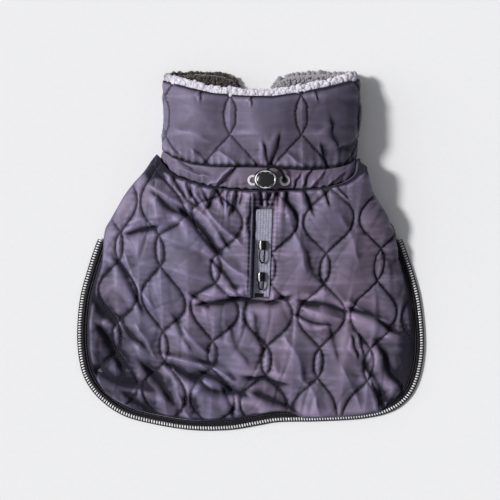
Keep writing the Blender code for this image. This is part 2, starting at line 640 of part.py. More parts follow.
def main():
    clear_scene()
    coat, cutters = collections()
    panel = back_panel(coat)
    wing("left", LEFT_WING_EDGE, LEFT_WING_END, coat)
    wing("right", RIGHT_WING_EDGE, RIGHT_WING_END, coat)
    patches(coat)
    edge_trim(coat)
    collar_shell(coat)
    collar_lining(coat)
    band = neck_band(coat)
    on_back, on_band = surface(panel), surface(band)
    laid("zip_tape", ZIP_TOP, ZIP_FOOT, ZIP_WIDE, ZIP_THICK, "zip", on_back, coat)
    laid("zip_welt", WELT_TOP, WELT_FOOT, WELT_WIDE, WELT_THICK, "nylon", on_back, coat,
         columns=3, rows=14)
    on_tape = surface(panel, bpy.data.objects["zip_tape"])
    zip_stop(on_tape, coat)
    for name, x, y in SLIDERS:
        slider(name, x, y, on_tape, coat, cutters)
    for name, x, y in EYELETS:
        eyelet(name, x, y, on_band, coat)
    floor = cord_lock(on_band, coat, cutters)
    drawcords(floor, on_band, coat)


main()
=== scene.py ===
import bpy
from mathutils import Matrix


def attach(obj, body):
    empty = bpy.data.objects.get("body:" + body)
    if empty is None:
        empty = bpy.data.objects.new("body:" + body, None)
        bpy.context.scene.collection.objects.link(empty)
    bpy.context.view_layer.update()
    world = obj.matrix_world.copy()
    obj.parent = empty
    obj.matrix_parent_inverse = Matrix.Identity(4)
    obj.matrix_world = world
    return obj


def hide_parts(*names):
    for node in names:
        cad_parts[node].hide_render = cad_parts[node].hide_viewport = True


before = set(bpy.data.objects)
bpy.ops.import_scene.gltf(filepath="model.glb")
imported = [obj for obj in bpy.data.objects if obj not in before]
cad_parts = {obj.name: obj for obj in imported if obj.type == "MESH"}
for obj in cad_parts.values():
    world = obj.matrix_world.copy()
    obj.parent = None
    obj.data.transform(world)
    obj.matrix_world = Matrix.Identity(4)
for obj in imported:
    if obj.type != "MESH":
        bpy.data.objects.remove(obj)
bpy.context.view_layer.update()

import math

import bmesh
import bpy
import numpy as np
from mathutils import Matrix, Vector
from mathutils.bvhtree import BVHTree

bl_info = {
    "name": "Quilted Dog Coat",
    "version": (1, 0, 0),
    "blender": (4, 5, 0),
    "location": "View3D > Sidebar > Dog Coat",
    "description": "Quilted dog coat laid flat: cloth, fleece, trims, hardware and a plain stage",
    "category": "Object",
}

MM = 0.001

# ---------------------------------------------------------------- the coat's own sizes, in mm
SEAM_GAP = 0.3
PANEL_WALL, WING_WALL, BAND_WALL, SHELL_WALL, PILE_WALL = 3.4, 3.0, 2.8, 3.2, 5.2
# How far the fleece stands past the collar's rim
PILE_PROUD = 7.0
# Edge trims: widths and heights, and how far the piping stands past the edge
BINDING_WIDE, BINDING_HIGH = 5.4, 4.6
PIPING_WIDE, PIPING_HIGH, PIPING_OUT = 3.4, 2.6, 0.6
# Points along the trims, and y below which the cover may lie over them
HEM_POINTS, HEM_FROM = 700, -120
# A rod of the coil: half length, radii along it, sides
COIL_REACH, COIL_RADII, COIL_SIDES = 1.55, (0.50, 0.74, 0.80, 0.74, 0.50), 6
# The coat's edge, from its left end down, along the hem and up to its right end
EDGE = (
    (-149.5, 16.0), (-154.5, 6.5), (-162.5, -17.5), (-170.5, -47.5), (-173.5, -83.5),
    (-171.0, -112.0), (-164.5, -131.5), (-150.5, -149.5), (-128.0, -165.0), (-98.5, -173.5),
    (-60.0, -179.6), (-22.0, -179.6), (8.0, -174.8), (28.0, -171.6), (70.0, -170.8),
    (112.0, -168.2), (140.0, -161.5), (157.5, -149.0), (167.5, -131.5), (172.8, -108.0),
    (173.5, -83.5), (169.5, -47.5), (161.5, -17.5), (153.5, 6.5), (148.5, 17.5),
)
LEFT_CORNER, RIGHT_CORNER = (-150.5, -149.5), (157.5, -149.0)
# Where the shoulders and sides turn under, from the neck down
LEFT_FOLD = ((-93.5, 96.0), (-98.5, 90.0), (-106.5, 78.5), (-117.5, 66.5), (-126.5, 54.5),
             (-133.5, 42.5), (-140.5, 30.5), (-146.0, 19.5))
RIGHT_FOLD = ((109.0, 92.0), (111.0, 84.5), (114.0, 77.5), (119.5, 66.5), (124.5, 54.5),
              (132.5, 42.5), (138.5, 30.5), (145.0, 19.5))
# Where the turned-under sides end and the trims start, down the coat
FOLD_ENDS, TRIM_STARTS = 15.0, 12.0
# Points on the smooth lines; a side passes through some of the edge's, from this one, so far on
EDGE_POINTS, FOLD_POINTS, NECK_POINTS, SIDE_FROM, SIDE_EVERY = 960, 500, 400, 32, 24
NECK_LINE = ((-93.5, 96.0), (-88.5, 87.0), (-76.5, 75.6), (-58.5, 68.6), (-37.5, 62.6),
             (-2.5, 59.6), (39.5, 59.6), (74.5, 62.6), (93.5, 67.6), (105.5, 77.0),
             (109.0, 92.0))
# Back panel down its middle: share of the way to the hem, crown height, fold height, roundness
BACK = (
    (0.00, 43.5, 18.0, 0.50), (0.10, 42.5, 14.0, 0.52), (0.22, 39.5, 9.0, 0.58),
    (0.34, 34.5, 5.4, 0.68), (0.50, 27.5, 5.0, 0.78), (0.66, 20.5, 5.0, 0.82),
    (0.82, 13.5, 5.0, 0.86), (0.93, 8.5, 5.0, 0.90), (1.00, 5.0, 5.0, 1.00),
)
# Roundness across; distance between the cloth's points in m, and how many there are
CROWN_POWER, CLOTH_GRID, BACK_COLUMNS, BACK_ROWS = 2.4, 0.0014, 321, 243
# Right half of the hem, where the cover lies over the binding: from and to, how gently each
# end starts, how far the cover comes down, and its least heights outside and inside
TUCK_FROM, TUCK_TO, TUCK_EASE = 38, 142, (16, 14)
TUCK_DROP, TUCK_FLOORS = 6.6, (5.4, 2.6)
# Gathers under the neck band: spacing, usual length, depth
GATHER_EVERY, GATHER_LONG, GATHER_DEEP = 9.5, 13.0, 2.6
# Creases listed one by one: x and y of both ends, half width, rise (troughs are below nought)
CREASES = (
    (-117, 18, -97, 23, 5.0, -5.0), (-115, 28, -90, 33, 5.0, 1.6),
    (-89, 53, -64, 35, 7.0, -4.2), (-64, 35, -34, 0, 7.5, -5.6),
    (-94, 61, -62, 42, 5.0, 1.8), (-52, 53, -12, 10, 4.5, 2.4),
    (-60, 48, -24, 7, 5.0, -1.8), (-33, -2, -4, -24, 4.0, 1.8),
    (-36, -12, -14, -38, 4.0, -2.2), (-132, -12, -110, -55, 5.5, -3.0),
    (-122, -8, -100, -50, 6.0, 1.8), (-55, -46, -46, -53, 4.0, -2.6),
    (-46, -53, -14, -47, 7.0, -5.6), (-14, -47, 20, -51, 6.4, -6.2),
    (20, -51, 36, -46, 4.0, -3.2), (-44, -42, 12, -40, 5.0, 1.8),
    (58, -52, 92, -60, 7.0, -5.2), (56, -58, 88, -68, 4.0, 1.8),
    (48, -65, 76, -73, 3.4, -2.4), (104, -60, 138, -78, 7.5, -5.8),
    (102, -54, 134, -70, 5.0, 1.8), (-82, -106, -46, -115, 3.6, 3.0),
    (-46, -115, -18, -130, 3.6, 2.8), (-76, -116, -44, -126, 9.0, -6.0),
    (-44, -125, -20, -140, 5.0, -3.0), (-154, -52, -140, -68, 10.0, -5.6),
    (-150, -122, -112, -134, 13.0, -7.5), (-100, -122, -84, -142, 11.0, -6.5),
    (-50, -131, -14, -142, 11.0, -6.5), (4, -128, 26, -132, 9.0, -5.2),
    (12, -146, 40, -158, 9.0, -5.0), (134, -104, 150, -132, 11.0, -7.0),
    (122, -134, 128, -152, 2.6, -2.0), (102, -88, 106, -102, 2.6, -1.8),
    (109, -86, 112, -100, 2.4, -1.6), (42, 18, 52, -12, 6.0, 1.4),
    (56, -2, 72, -32, 6.0, -1.4), (90, 28, 102, -2, 7.0, 1.5),
    (-74, -68, -60, -94, 5.0, -1.8), (6, -68, 12, -96, 5.0, -1.6),
    (36, -90, 50, -122, 6.0, 1.4), (-18, -80, -4, -106, 6.0, -1.5),
    (80, -80, 86, -102, 5.0, -1.4), (-110, -80, -98, -102, 6.0, 1.6),
    (-146, -80, -128, -102, 6.0, -1.8), (52, -130, 66, -152, 6.0, 1.4),
    (94, -122, 106, -146, 6.0, 1.2), (-64, -80, -44, -102, 6.0, 1.8),
    (-26, -142, -18, -164, 4.0, -1.8), (-70, -148, -58, -170, 5.0, 1.5),
    (-120, -146, -100, -162, 9.0, -4.2), (-146, -84, -132, -112, 9.0, -4.6),
    (-128, -70, -108, -92, 9.0, -3.4), (118, -120, 132, -146, 8.0, -3.6),
    (10, 62, 13, 42, 5.6, -5.2), (17, 62, 17, 45, 4.0, -4.0), (26, 62, 21, 42, 5.6, -5.2),
    (36, 62, 43, 38, 6.0, -4.8), (50, 62, 59, 43, 5.4, -4.0), (-12, 62, -18, 42, 5.0, -3.6),
    (-30, 63, -40, 46, 5.4, -3.6),
    (-8, 60, -10, 49, 2.6, -2.2), (-20, 61, -22, 46, 3.2, -2.4), (-34, 62, -28, 48, 3.2, -2.4),
    (-50, 66, -43, 50, 3.2, -2.4), (-62, 69, -54, 50, 3.4, -2.6), (70, 62, 76, 48, 3.0, -2.2),
    (-76, 75, -66, 56, 3.6, -3.0), (84, 66, 94, 54, 3.0, -2.0), (-14, 60, -17, 40, 2.6, -2.0),
)
# Quilting on the back: column, x and y of its upper small eye, x and y of its lower one
EYES = (
    (-3, -174, 8, -178, -82), (-2, -130, 4, -134, -86), (-1, -90, 0, -86, -96),
    (0, -34, -18, -38, -104), (1, 20, -18, 16, -110), (2, 74, -18, 68, -112),
    (3, 128, -14, 118, -114), (4, 180, -12, 168, -116),
)
# Half width of a quilted onion, from the middle of an eye (0) to that of an onion (1)
BACK_ONION = ((0.0, -5.0), (0.17, -4.2), (0.33, 0.2), (0.5, 8.6), (0.7, 18.6), (0.86, 23.2),
              (1.0, 24.4))
BACK_PITCH = 54.0
# The same on the collar; distance between columns, between repeats, and the place of one eye
COLLAR_ONION = ((0.0, -6.0), (0.16, -5.2), (0.32, -0.3), (0.5, 9.6), (0.77, 24.5), (1.0, 32.0))
COLLAR_PITCH, COLLAR_REPEAT, COLLAR_EYE = 70.5, 120.0, (-20.0, 133.5)
# Neck tube: the share of the way from its lower to its upper edge, left x, right x, height
TUBE_SIDES = ((-0.25, -87.0, 103.2, 45.0), (0.0, -86.5, 104.0, 44.5), (0.3, -85.5, 106.6, 47.0),
              (0.6, -85.0, 108.0, 46.5), (1.0, -86.0, 106.5, 42.5))
# Roundness of its top, height where its sides start, and how far they round under
TUBE_POWER, SIDE_HEIGHT, UNDER_ROUND = 2.4, 19.0, 20.0
# Columns of the tube's upper layer, of each rounded side and of each lower half
TUBE_COLUMNS, PILE_COLUMNS, CURL_COLUMNS = (321, 14, 40), (301, 14, 60), (301, 14, 80)
COLLAR_ROWS, COLLAR_HIGH, BAND_ROWS = 85, 70, 41
# x of the slit's two ends under the tube, at its rim and at its band
SLIT_RIM, SLIT_BAND = (-10.5, 21.5), (-3.0, 8.0)
# Upper layer: x, and y of the band's lower edge, of the band's seam and of the rim
UPPER = (
    (-87.0, 90.5, 100.0, 169.5), (-76.5, 76.5, 92.5, 166.0), (-58.5, 69.5, 86.0, 160.5),
    (-37.5, 63.5, 83.4, 155.4), (-2.5, 60.5, 83.2, 152.2), (22.5, 60.5, 82.4, 152.2),
    (46.5, 61.0, 80.5, 156.0), (74.5, 63.5, 80.8, 161.5), (93.5, 68.5, 85.0, 167.0),
    (101.0, 74.0, 88.5, 169.5), (104.0, 80.0, 93.0, 170.3), (105.6, 92.5, 99.0, 170.5),
)
# Lower layer: share of the way to the slit, and the same three heights down the coat
UNDER = ((0.0, 94.0, 104.0, 172.0), (0.2, 98.0, 108.0, 173.0), (0.7, 98.0, 108.0, 171.0),
         (0.9, 98.0, 108.0, 166.0), (1.0, 98.0, 108.0, 157.5))
COLLAR_CREASES = (
    (14.5, 100.0, 18.0, 84.0, 4.0, -3.0), (27.0, 108.0, 20.0, 86.0, 4.5, -2.2),
    (80.0, 123.0, 84.0, 106.0, 7.0, -2.0), (-66.0, 117.0, -44.0, 108.0, 8.0, 1.2),
    (-48.0, 157.0, -47.5, 151.0, 2.0, -1.6), (1.0, 151.0, 1.5, 146.0, 2.0, -1.4),
    (63.0, 157.0, 65.0, 151.0, 2.0, -1.4), (88.0, 104.0, 101.0, 112.0, 5.0, 1.2),
    (70.0, 100.0, 74.0, 84.0, 3.4, -1.8), (-26.0, 94.0, -16.0, 86.0, 3.4, 1.2),
    (40.0, 92.0, 50.0, 84.0, 3.2, 1.2), (-52.0, 97.0, -44.0, 88.0, 3.2, -1.4),
)
BAND_CREASES = (
    (-27, 68, -16, 80, 2.6, -2.2), (-33, 66, -22, 78, 3.0, 1.4), (-60, 78, -44, 74, 3.0, 1.5),
    (54, 66, 60, 78, 2.4, -2.0), (62, 66, 70, 76, 3.0, 1.4), (-72, 92, -60, 82, 3.0, -1.4),
    (44, 64, 48, 72, 2.0, -1.6), (-40, 66, -30, 70, 2.2, 1.4), (80, 68, 90, 76, 3.0, 1.2),
)
# Chest wings: how far they turn under, lower edges and inner ends; where the left one lies on
# the right one, and its binding
WING_UNDER = 10.0
LEFT_WING_EDGE = ((-128.0, 31.0), (-100.0, 42.0), (-60.0, 40.0), (-18.0, 34.0))
RIGHT_WING_EDGE = ((126.0, 32.0), (98.0, 42.0), (60.0, 40.0), (18.0, 34.0))
LEFT_WING_END, RIGHT_WING_END = ((20.0, 96.0), (24.0, 34.0)), ((-18.0, 96.0), (-24.0, 34.0))
LAP_FROM, LAP_TO, LAP_LIFT = -72.0, -44.0, 5.9
WING_BINDING_WIDE, WING_BINDING_HIGH = 7.0, 3.6
# Zip tape and the fold beside it: x and y of both ends, width, thickness, number of ribs
ZIP_TOP, ZIP_FOOT = (13.6, 40.5), (10.6, -46.0)
ZIP_WIDE, ZIP_THICK, ZIP_RIBS = 16.0, 1.2, 6
WELT_TOP, WELT_FOOT, WELT_WIDE = (2.4, 56.5), (-0.6, -46.5), 1.8
# Pulls: name, pin, lean of the zip there, length
PULLS = (("upper", (11.6, 5.8, 43.81), 0.1894, 20.0),
         ("lower", (10.4, -25.4, 37.833), 0.2001, 15.0))
# A pull's loop: half width at its pin, and how much more at its foot; likewise its thickness
LOOP_HALF, LOOP_THICK, TAB_DROOP = (1.5, 1.6), (3.2, 1.9), math.radians(5.0)
# The bright rod over a pull's pin, a painted highlight: middle from the pin, and half sizes, in m
BRIDGE_AT, BRIDGE_HALF = (-0.0016, -0.0006, 0.0006), (0.00115, 0.0048, 0.0011)
# Cord lock: middle, size, and how far its ring lies above the middle
LOCK_AT, LOCK_SIZE, RING_UP = (14.6, 69.5, 55.2), (22.6, 19.4, 12.4), 3.7
# The lock's dished top: its share of the top, then steps inwards and up or down, in m
LOCK_DISH, LOCK_STEPS = 0.62, ((0.0006, -0.0011), (0.0014, -0.0005), (0.0008, 0.0013))
# Its ring, a painted highlight, in m, and how much it is stretched
RING_RADIUS, RING_WIRE, RING_STRETCH = 0.0078, 0.00085, (1.20, 1.0, 0.8)
# Stitches: gap between two, how far one stands over the cloth, thickness
BACK_STITCH, COLLAR_STITCH = (1.2, 0.08, 0.5), (1.4, 0.10, 0.65)
EDGE_STITCH, EDGE_STITCH_LONG = (0.8, 0.02, 0.5), 2.2
# Room kept between quilting thread and edge; how far ahead a stitch looks for its direction,
# and the most it may climb on the way
STITCH_INSET, STITCH_AHEAD, STITCH_CLIMB = 11.5, 0.8, 2.5
# Repeat numbers between which a seam is followed, with the number of points; the hem's part of
# the edge
BACK_REPEATS, COLLAR_REPEATS, HEM_PART = (-1.0, 1.7, 500), (-0.4, 0.45, 260), slice(80, 170)
# Painted shade on the back, where shade falls: x, y, reach and depth of the painted shade
PAINTED_SHADE_SPOTS = (
    (-92, 90, 12.0, 1.5), (-98, 80, 8.0, 1.5), (-90, 80, 9.0, 1.5), (107, 90, 11.0, 1.5),
    (104, 80, 7.0, 1.5), (113, 80, 6.0, 1.5), (-140, -98, 30.0, 0.75), (-152, -58, 22.0, 0.45),
    (-112, -142, 30.0, 1.0), (-50, -146, 26.0, 0.45), (20, -146, 24.0, 0.34),
    (130, -140, 30.0, 0.34), (150, -90, 24.0, 0.32), (-16, -64, 24.0, 0.18),
)
# How much deeper creases are than their tables say, how far they bend, how deep their lip is,
# and the way the light runs over the cloth
CREASE_GAIN, CREASE_BEND, CREASE_LIP, LIGHT = 1.35, 0.10, 0.35, (0.97, -0.24)
# A quilted puff: how far in its crown rises, and its puckers' spacing, reach and depth
PUFF_REACH, PUCKER_EVERY, PUCKER_REACH, PUCKER_DEEP = 14.0, 6.4, 4.6, 0.46
# Cells of the noise field before it repeats, and its shift
NOISE_CELLS, NOISE_SHIFT = 61, (200.3, 200.7)
# Shift of the collar's and the band's own noise
COLLAR_SHIFT, BAND_SHIFT = 400, 300

# Stage: the lights' names, strengths, sizes in degrees and directions; paper half width and
# depth; the camera's place, lens and sensor
SUNS = (("key", 3.02, 10, (0.72, -0.15, -0.67)), ("window", 0.78, 50, (0.88, -0.12, -0.42)))
SKY, SKY_STRENGTH = (0.95, 0.96, 1, 1), 0.275
PAPER_HALF, PAPER_LOW = 4, -0.0004
CAMERA_AT, CAMERA_LENS, CAMERA_SENSOR, CAMERA_NEAR = (-0.0005, 0.0005, 2.2), 157.7, 36.0, 0.05


# ---------------------------------------------------------------- settings in the sidebar
class CoatSettings(bpy.types.PropertyGroup):
    """What a user may change before making the pieces again."""

    puff: bpy.props.FloatProperty(
        name="Puff", description="Height of a quilted puff over its stitching",
        default=0.0076, unit="LENGTH", min=0.0, max=0.009)
    crumple: bpy.props.FloatProperty(
        name="Crumple", description="Depth of the small creases in the cover",
        default=0.0010, unit="LENGTH", min=0.0, max=0.004)
    grid: bpy.props.FloatProperty(
        name="Cloth grid", description="Spacing of the points on the cover cloth",
        default=CLOTH_GRID, unit="LENGTH", min=0.0009, max=0.006)
    stitch: bpy.props.FloatProperty(
        name="Stitch", description="Length of one quilting stitch", default=0.0026,
        unit="LENGTH", min=0.001, max=0.008)
    coil_pitch: bpy.props.FloatProperty(
        name="Coil pitch", description="Distance between two turns of the edge coil",
        default=0.0026, unit="LENGTH", min=0.001, max=0.006)
    curls: bpy.props.IntProperty(
        name="Fleece curls", description="How many curls stand on the fleece",
        default=3400, min=0, max=6000)
    cover: bpy.props.FloatVectorProperty(
        name="Cover", description="Colour of the satin cover", subtype="COLOR",
        default=(0.136, 0.102, 0.144), min=0.0, max=1.0)
    cover_shade: bpy.props.FloatVectorProperty(
        name="Cover shade", description="Second colour of the satin cover", subtype="COLOR",
        default=(0.098, 0.086, 0.132), min=0.0, max=1.0)
    fleece: bpy.props.FloatVectorProperty(
        name="Fleece", description="Colour of the curled fleece", subtype="COLOR",
        default=(0.88, 0.84, 0.95), min=0.0, max=1.0)
    # Colour of the painted shadow low in the throat
    fleece_painted_shadow: bpy.props.FloatVectorProperty(
        name="Shadowed fleece", description="Colour of the shadowed fleece at the throat",
        subtype="COLOR", default=(0.034, 0.022, 0.018), min=0.0, max=1.0)
    tape: bpy.props.FloatVectorProperty(
        name="Tape", description="Colour of the edge tape", subtype="COLOR",
        default=(0.012, 0.010, 0.013), min=0.0, max=1.0)
    coil: bpy.props.FloatVectorProperty(
        name="Coil", description="Colour of the edge coil", subtype="COLOR",
        default=(0.92, 0.91, 0.94), min=0.0, max=1.0)
    zip_tape: bpy.props.FloatVectorProperty(
        name="Zip tape", description="Colour of the ribbed zip tape", subtype="COLOR",
        default=(0.37, 0.36, 0.47), min=0.0, max=1.0)


def settings():
    """The sidebar's settings."""
    return bpy.context.scene.coat_settings


# ---------------------------------------------------------------- lines, grids and noise
def column(table, key, value, at):
    """One named column of a table of rows, read at the given places."""
    rows = np.array(table, float)
    return np.interp(at, rows[:, key], rows[:, value])


def travel(line):
    """Distance along a line at each of its points."""
    return np.concatenate([[0], np.cumsum(np.linalg.norm(np.diff(line, axis=0), axis=1))])


def along(line, shares):
    """Points at the given shares of a line's length."""
    step = travel(line)
    return np.column_stack([np.interp(np.asarray(shares) * step[-1], step, line[:, k])
                            for k in range(line.shape[1])])


def curve(points, count=240, between=14):
    """Evenly spaced points of a smooth line through the given ones."""
    p = np.asarray(points, float)
    p = np.vstack([2 * p[0] - p[1], p, 2 * p[-1] - p[-2]])
    t = np.linspace(0, 1, between, endpoint=False)[:, None]
    line = []
    for a, b, c, d in zip(p, p[1:], p[2:], p[3:]):
        line.append(b + 0.5 * t * (c - a + t * (2 * a - 5 * b + 4 * c - d
                                                + t * (3 * (b - c) + d - a))))
    return along(np.vstack(line + [p[-2][None]]), np.linspace(0, 1, count))


def shifted(line, away):
    """A flat line moved to its left by away."""
    run = np.gradient(line, axis=0)
    run /= np.linalg.norm(run, axis=1)[:, None]
    return line + away * np.column_stack([-run[:, 1], run[:, 0]])


def nearest(line, point):
    """Number of the line's point that is nearest."""
    return int(np.linalg.norm(line - np.array(point), axis=1).argmin())


def patch(top, foot, left, right, across, down):
    """Points between four lines; across and down are shares from 0 to 1."""
    s, t = np.meshgrid(across, down)
    s, t = s[..., None], t[..., None]
    a, b = along(top, across)[None], along(foot, across)[None]
    c, d = along(left, down)[:, None], along(right, down)[:, None]
    corners = ((1 - s) * (1 - t) * top[0] + s * (1 - t) * top[-1]
               + (1 - s) * t * foot[0] + s * t * foot[-1])
    return (1 - t) * a + t * b + (1 - s) * c + s * d - corners


def noise(x, y, size, seed):
    """Smooth random heights, about -1 to 1, with lumps of about this size."""
    turn = np.random.default_rng(seed).uniform(0, 2 * math.pi, (NOISE_CELLS, NOISE_CELLS))
    u, v = x / size + NOISE_SHIFT[0], y / size + NOISE_SHIFT[1]
    i, j = np.floor(u).astype(int), np.floor(v).astype(int)
    f, g = u - i, v - j

    def fade(w):
        return w * w * w * (w * (w * 6 - 15) + 10)

    def corner(di, dj):
        a = turn[(i + di) % NOISE_CELLS, (j + dj) % NOISE_CELLS]
        return np.cos(a) * (f - di) + np.sin(a) * (g - dj)

    low = corner(0, 0) + fade(f) * (corner(1, 0) - corner(0, 0))
    high = corner(0, 1) + fade(f) * (corner(1, 1) - corner(0, 1))
    return 1.6 * (low + fade(g) * (high - low))


def crease_web(x, y, size, turn, stretch, seed):
    """Thin crooked furrows where a smooth field crosses nought, from 0 to -1."""
    c, s = math.cos(turn), math.sin(turn)
    u, v = (c * x + s * y) / stretch, -s * x + c * y
    field = noise(u, v, size, seed)
    strength = np.clip(0.5 + noise(x, y, size * 2.4, seed + 1), 0, 1)
    return -np.exp(-((field / 0.11) ** 2)) * strength


def hand_creases(table, x, y):
    """Soft folds, steep on one side of their line and long on the other, with a low lip."""
    rise = np.zeros_like(x)
    for n, (x0, y0, x1, y1, half, height) in enumerate(table):
        long = math.hypot(x1 - x0, y1 - y0)
        run = ((x - x0) * (x1 - x0) + (y - y0) * (y1 - y0)) / long ** 2
        side = ((x - x0) * (y1 - y0) - (y - y0) * (x1 - x0)) / long
        bend = CREASE_BEND * long * np.sin(math.pi * np.clip(run, 0, 1)) * math.sin(2.4 * n)
        faces = math.copysign(1, (y1 - y0) * LIGHT[0] - (x1 - x0) * LIGHT[1])
        off = (side + bend) * faces * math.copysign(1, -height)
        wide = half * (0.55 + 0.45 * np.sin(math.pi * np.clip(run, 0, 1)))
        past = np.maximum(np.maximum(-run, run - 1), 0) * long
        fade = np.exp(-((past / (0.9 * half + 2)) ** 2))
        steep, gentle = np.exp(-((off / (0.5 * wide)) ** 2)), np.exp(-np.abs(off) / (1.5 * wide))
        lip = np.exp(-(((off + 1.7 * wide) / wide) ** 2))
        shape = np.where(off < 0, steep, gentle) - CREASE_LIP * lip
        rise += CREASE_GAIN * height * fade * shape
    return rise


# ---------------------------------------------------------------- quilting
def onion(table, phase, steps=201, reach=12):
    """Half width and its slope at a phase from 0 (eye) to 1 (onion), rounded over reach."""
    rows = np.array(table)
    fine = np.linspace(0, 1, steps)
    wide = np.interp(fine, rows[:, 0], rows[:, 1])
    kernel = np.hanning(2 * reach + 1) / np.hanning(2 * reach + 1).sum()
    padded = np.concatenate([wide[reach:0:-1], wide, wide[-2:-2 - reach:-1]])
    wide = np.convolve(padded, kernel, "valid")
    return (np.interp(phase, fine, wide),
            np.interp(phase, fine, np.gradient(wide, fine[1] - fine[0])))


def back_phase(x, y):
    """Column and repeat number of the quilting at each point of the back, and their sizes."""
    eyes = np.array(EYES)
    place = np.array([x1 + (x2 - x1) * np.clip((y - y1) / (y2 - y1), -1.3, 1.9)
                      for _, x1, y1, x2, y2 in eyes])
    slot = np.clip((x[None] > place).sum(0) - 1, 0, len(eyes) - 2)
    before, after = (np.take_along_axis(place, (slot + k)[None], 0)[0] for k in (0, 1))
    col = eyes[0, 0] + slot + (x - before) / (after - before)
    top, low = (np.interp(col, eyes[:, 0], eyes[:, k]) for k in (2, 4))
    return col, (top - y) / (top - low), after - before, top - low


def seam_distance(col, rep, pitch, repeat, table, base_pitch):
    """Distance in mm to the nearest quilting seam, and a number for that seam."""
    phase = np.clip(2 * np.abs(rep - np.round(rep)), 0, 1)
    half, slope = onion(table, phase)
    half = half * pitch / base_pitch
    slant = np.sqrt(1 + (slope * 2 / repeat * pitch / base_pitch) ** 2)
    base = np.floor(col)
    best, label = np.full(col.shape, 1e9), np.zeros(col.shape)
    for k in (0, 1):
        for sign in (-1, 1):
            off = np.abs((col - base - k) * pitch - sign * half) / slant
            label = np.where(off < best, (base + k) * 2 + (sign + 1) / 2, label)
            best = np.minimum(best, off)
    return best, label


def puffs(distance, label, run, x, y, high, seed, pucker=1.0, beside=1.5, share=0.42):
    """Height over the stitching: a steep rise beside it, a crown, and puckers square to it."""
    crown_part = 1 - np.exp(-((distance / PUFF_REACH) ** 2))
    edge_part = 1 - np.exp(-distance / beside)
    lump = 1 + 0.25 * noise(x, y, 34.0, seed)
    body = high * (share * edge_part + (1 - share) * crown_part) * lump
    wave = np.sin(2 * math.pi * run / PUCKER_EVERY + 2.1 * label
                  + 2.6 * noise(x, y, 17.0, seed + 3))
    reach = PUCKER_REACH * (1.1 + 0.8 * noise(x, y, 12.0, seed + 5))
    ripple = wave * np.exp(-distance / np.maximum(reach, 1.2)) * (1 - np.exp(-distance / 0.8))
    here = np.clip(0.7 + noise(x, y, 21.0, seed + 9), 0, 1.4)
    return body + pucker * PUCKER_DEEP * ripple * here


# ---------------------------------------------------------------- meshes
def blurred(grid, reach):
    """The grid's values averaged over reach points each way."""
    window = np.hanning(2 * reach + 3)[1:-1]
    window /= window.sum()
    for axis in (0, 1):
        grid = np.apply_along_axis(
            lambda row: np.convolve(np.pad(row, reach, mode="edge"), window, "valid"), axis, grid)
    return grid


def cloth(name, outer, inner, uv, look, coarse=1, rise=None, gap=None):
    """A closed wall of cloth between two grids of points in mm, with its flat sizes as UVs.
    Where a rise is given, each point also carries a level of painted shading: how far it lies
    below its surroundings (painted shade in hollows, painted highlight on crests), with the gap's
    painted shade added. The inner grid keeps one row and column in coarse."""
    rows, columns = outer.shape[:2]
    top = np.arange(rows * columns).reshape(rows, columns)
    inner, flat_inner = inner[::coarse, ::coarse], uv[::coarse, ::coarse]
    low = np.arange(inner.shape[0] * inner.shape[1]).reshape(inner.shape[:2]) + rows * columns

    def quads(a):
        return np.stack([a[:-1, :-1], a[1:, :-1], a[1:, 1:], a[:-1, 1:]], -1).reshape(-1, 4)

    def rim(fine, wide):
        return [list(fine[k * coarse:(k + 1) * coarse + 1]) + [wide[k + 1], wide[k]]
                for k in range(len(wide) - 1)]

    faces = quads(top).tolist() + quads(low)[:, ::-1].tolist()
    faces += rim(top[0], low[0]) + rim(top[:, -1], low[:, -1])
    faces += [f[::-1] for f in rim(top[-1], low[-1]) + rim(top[:, 0], low[:, 0])]
    points = np.concatenate([outer.reshape(-1, 3), inner.reshape(-1, 3)]) * MM
    mesh = bpy.data.meshes.new(name)
    mesh.from_pydata(points.tolist(), [], faces)
    corners = np.array([v for f in faces for v in f])
    flat = np.concatenate([uv.reshape(-1, 2), flat_inner.reshape(-1, 2)]) * MM
    mesh.uv_layers.new(name="flat").data.foreach_set(
        "uv", flat[corners].astype(np.float32).reshape(-1))
    mesh.polygons.foreach_set("use_smooth", np.ones(len(mesh.polygons), bool))
    if rise is not None:
        # Painted shading level: relief against its blurred surroundings, plus the gap's painted
        # shade
        below = (0.17 * (blurred(rise, 3) - rise) / 0.9 + 0.98 * (blurred(rise, 12) - rise) / 2.6)
        below = below + gap
        depth = np.full(len(points), 0.5)
        depth[:rows * columns] = np.clip(0.5 + 0.5 * below, 0, 1).reshape(-1)
        mesh.attributes.new("painted_shading_level", "FLOAT", "POINT").data.foreach_set(
            "value", depth.astype(np.float32))
    made = linked(name, mesh, look)
    face_out(made)
    return made


def linked(name, mesh, look):
    """A new object with this mesh and material, in the scene."""
    made = bpy.data.objects.new(name, mesh)
    bpy.context.scene.collection.objects.link(made)
    mesh.materials.append(look)
    return made


def face_out(thing):
    """Turns a closed mesh's faces outwards."""
    shape = bmesh.new()
    shape.from_mesh(thing.data)
    bmesh.ops.recalc_face_normals(shape, faces=shape.faces)
    if shape.calc_volume(signed=True) < 0:
        bmesh.ops.reverse_faces(shape, faces=shape.faces)
    shape.to_mesh(thing.data)
    shape.free()


def normals(grid):
    """Directions square to a grid of points, upwards on the whole."""
    n = np.cross(np.gradient(grid, axis=1), np.gradient(grid, axis=0))
    n /= np.maximum(np.linalg.norm(n, axis=2), 1e-9)[..., None]
    return n if n[..., 2].mean() > 0 else -n


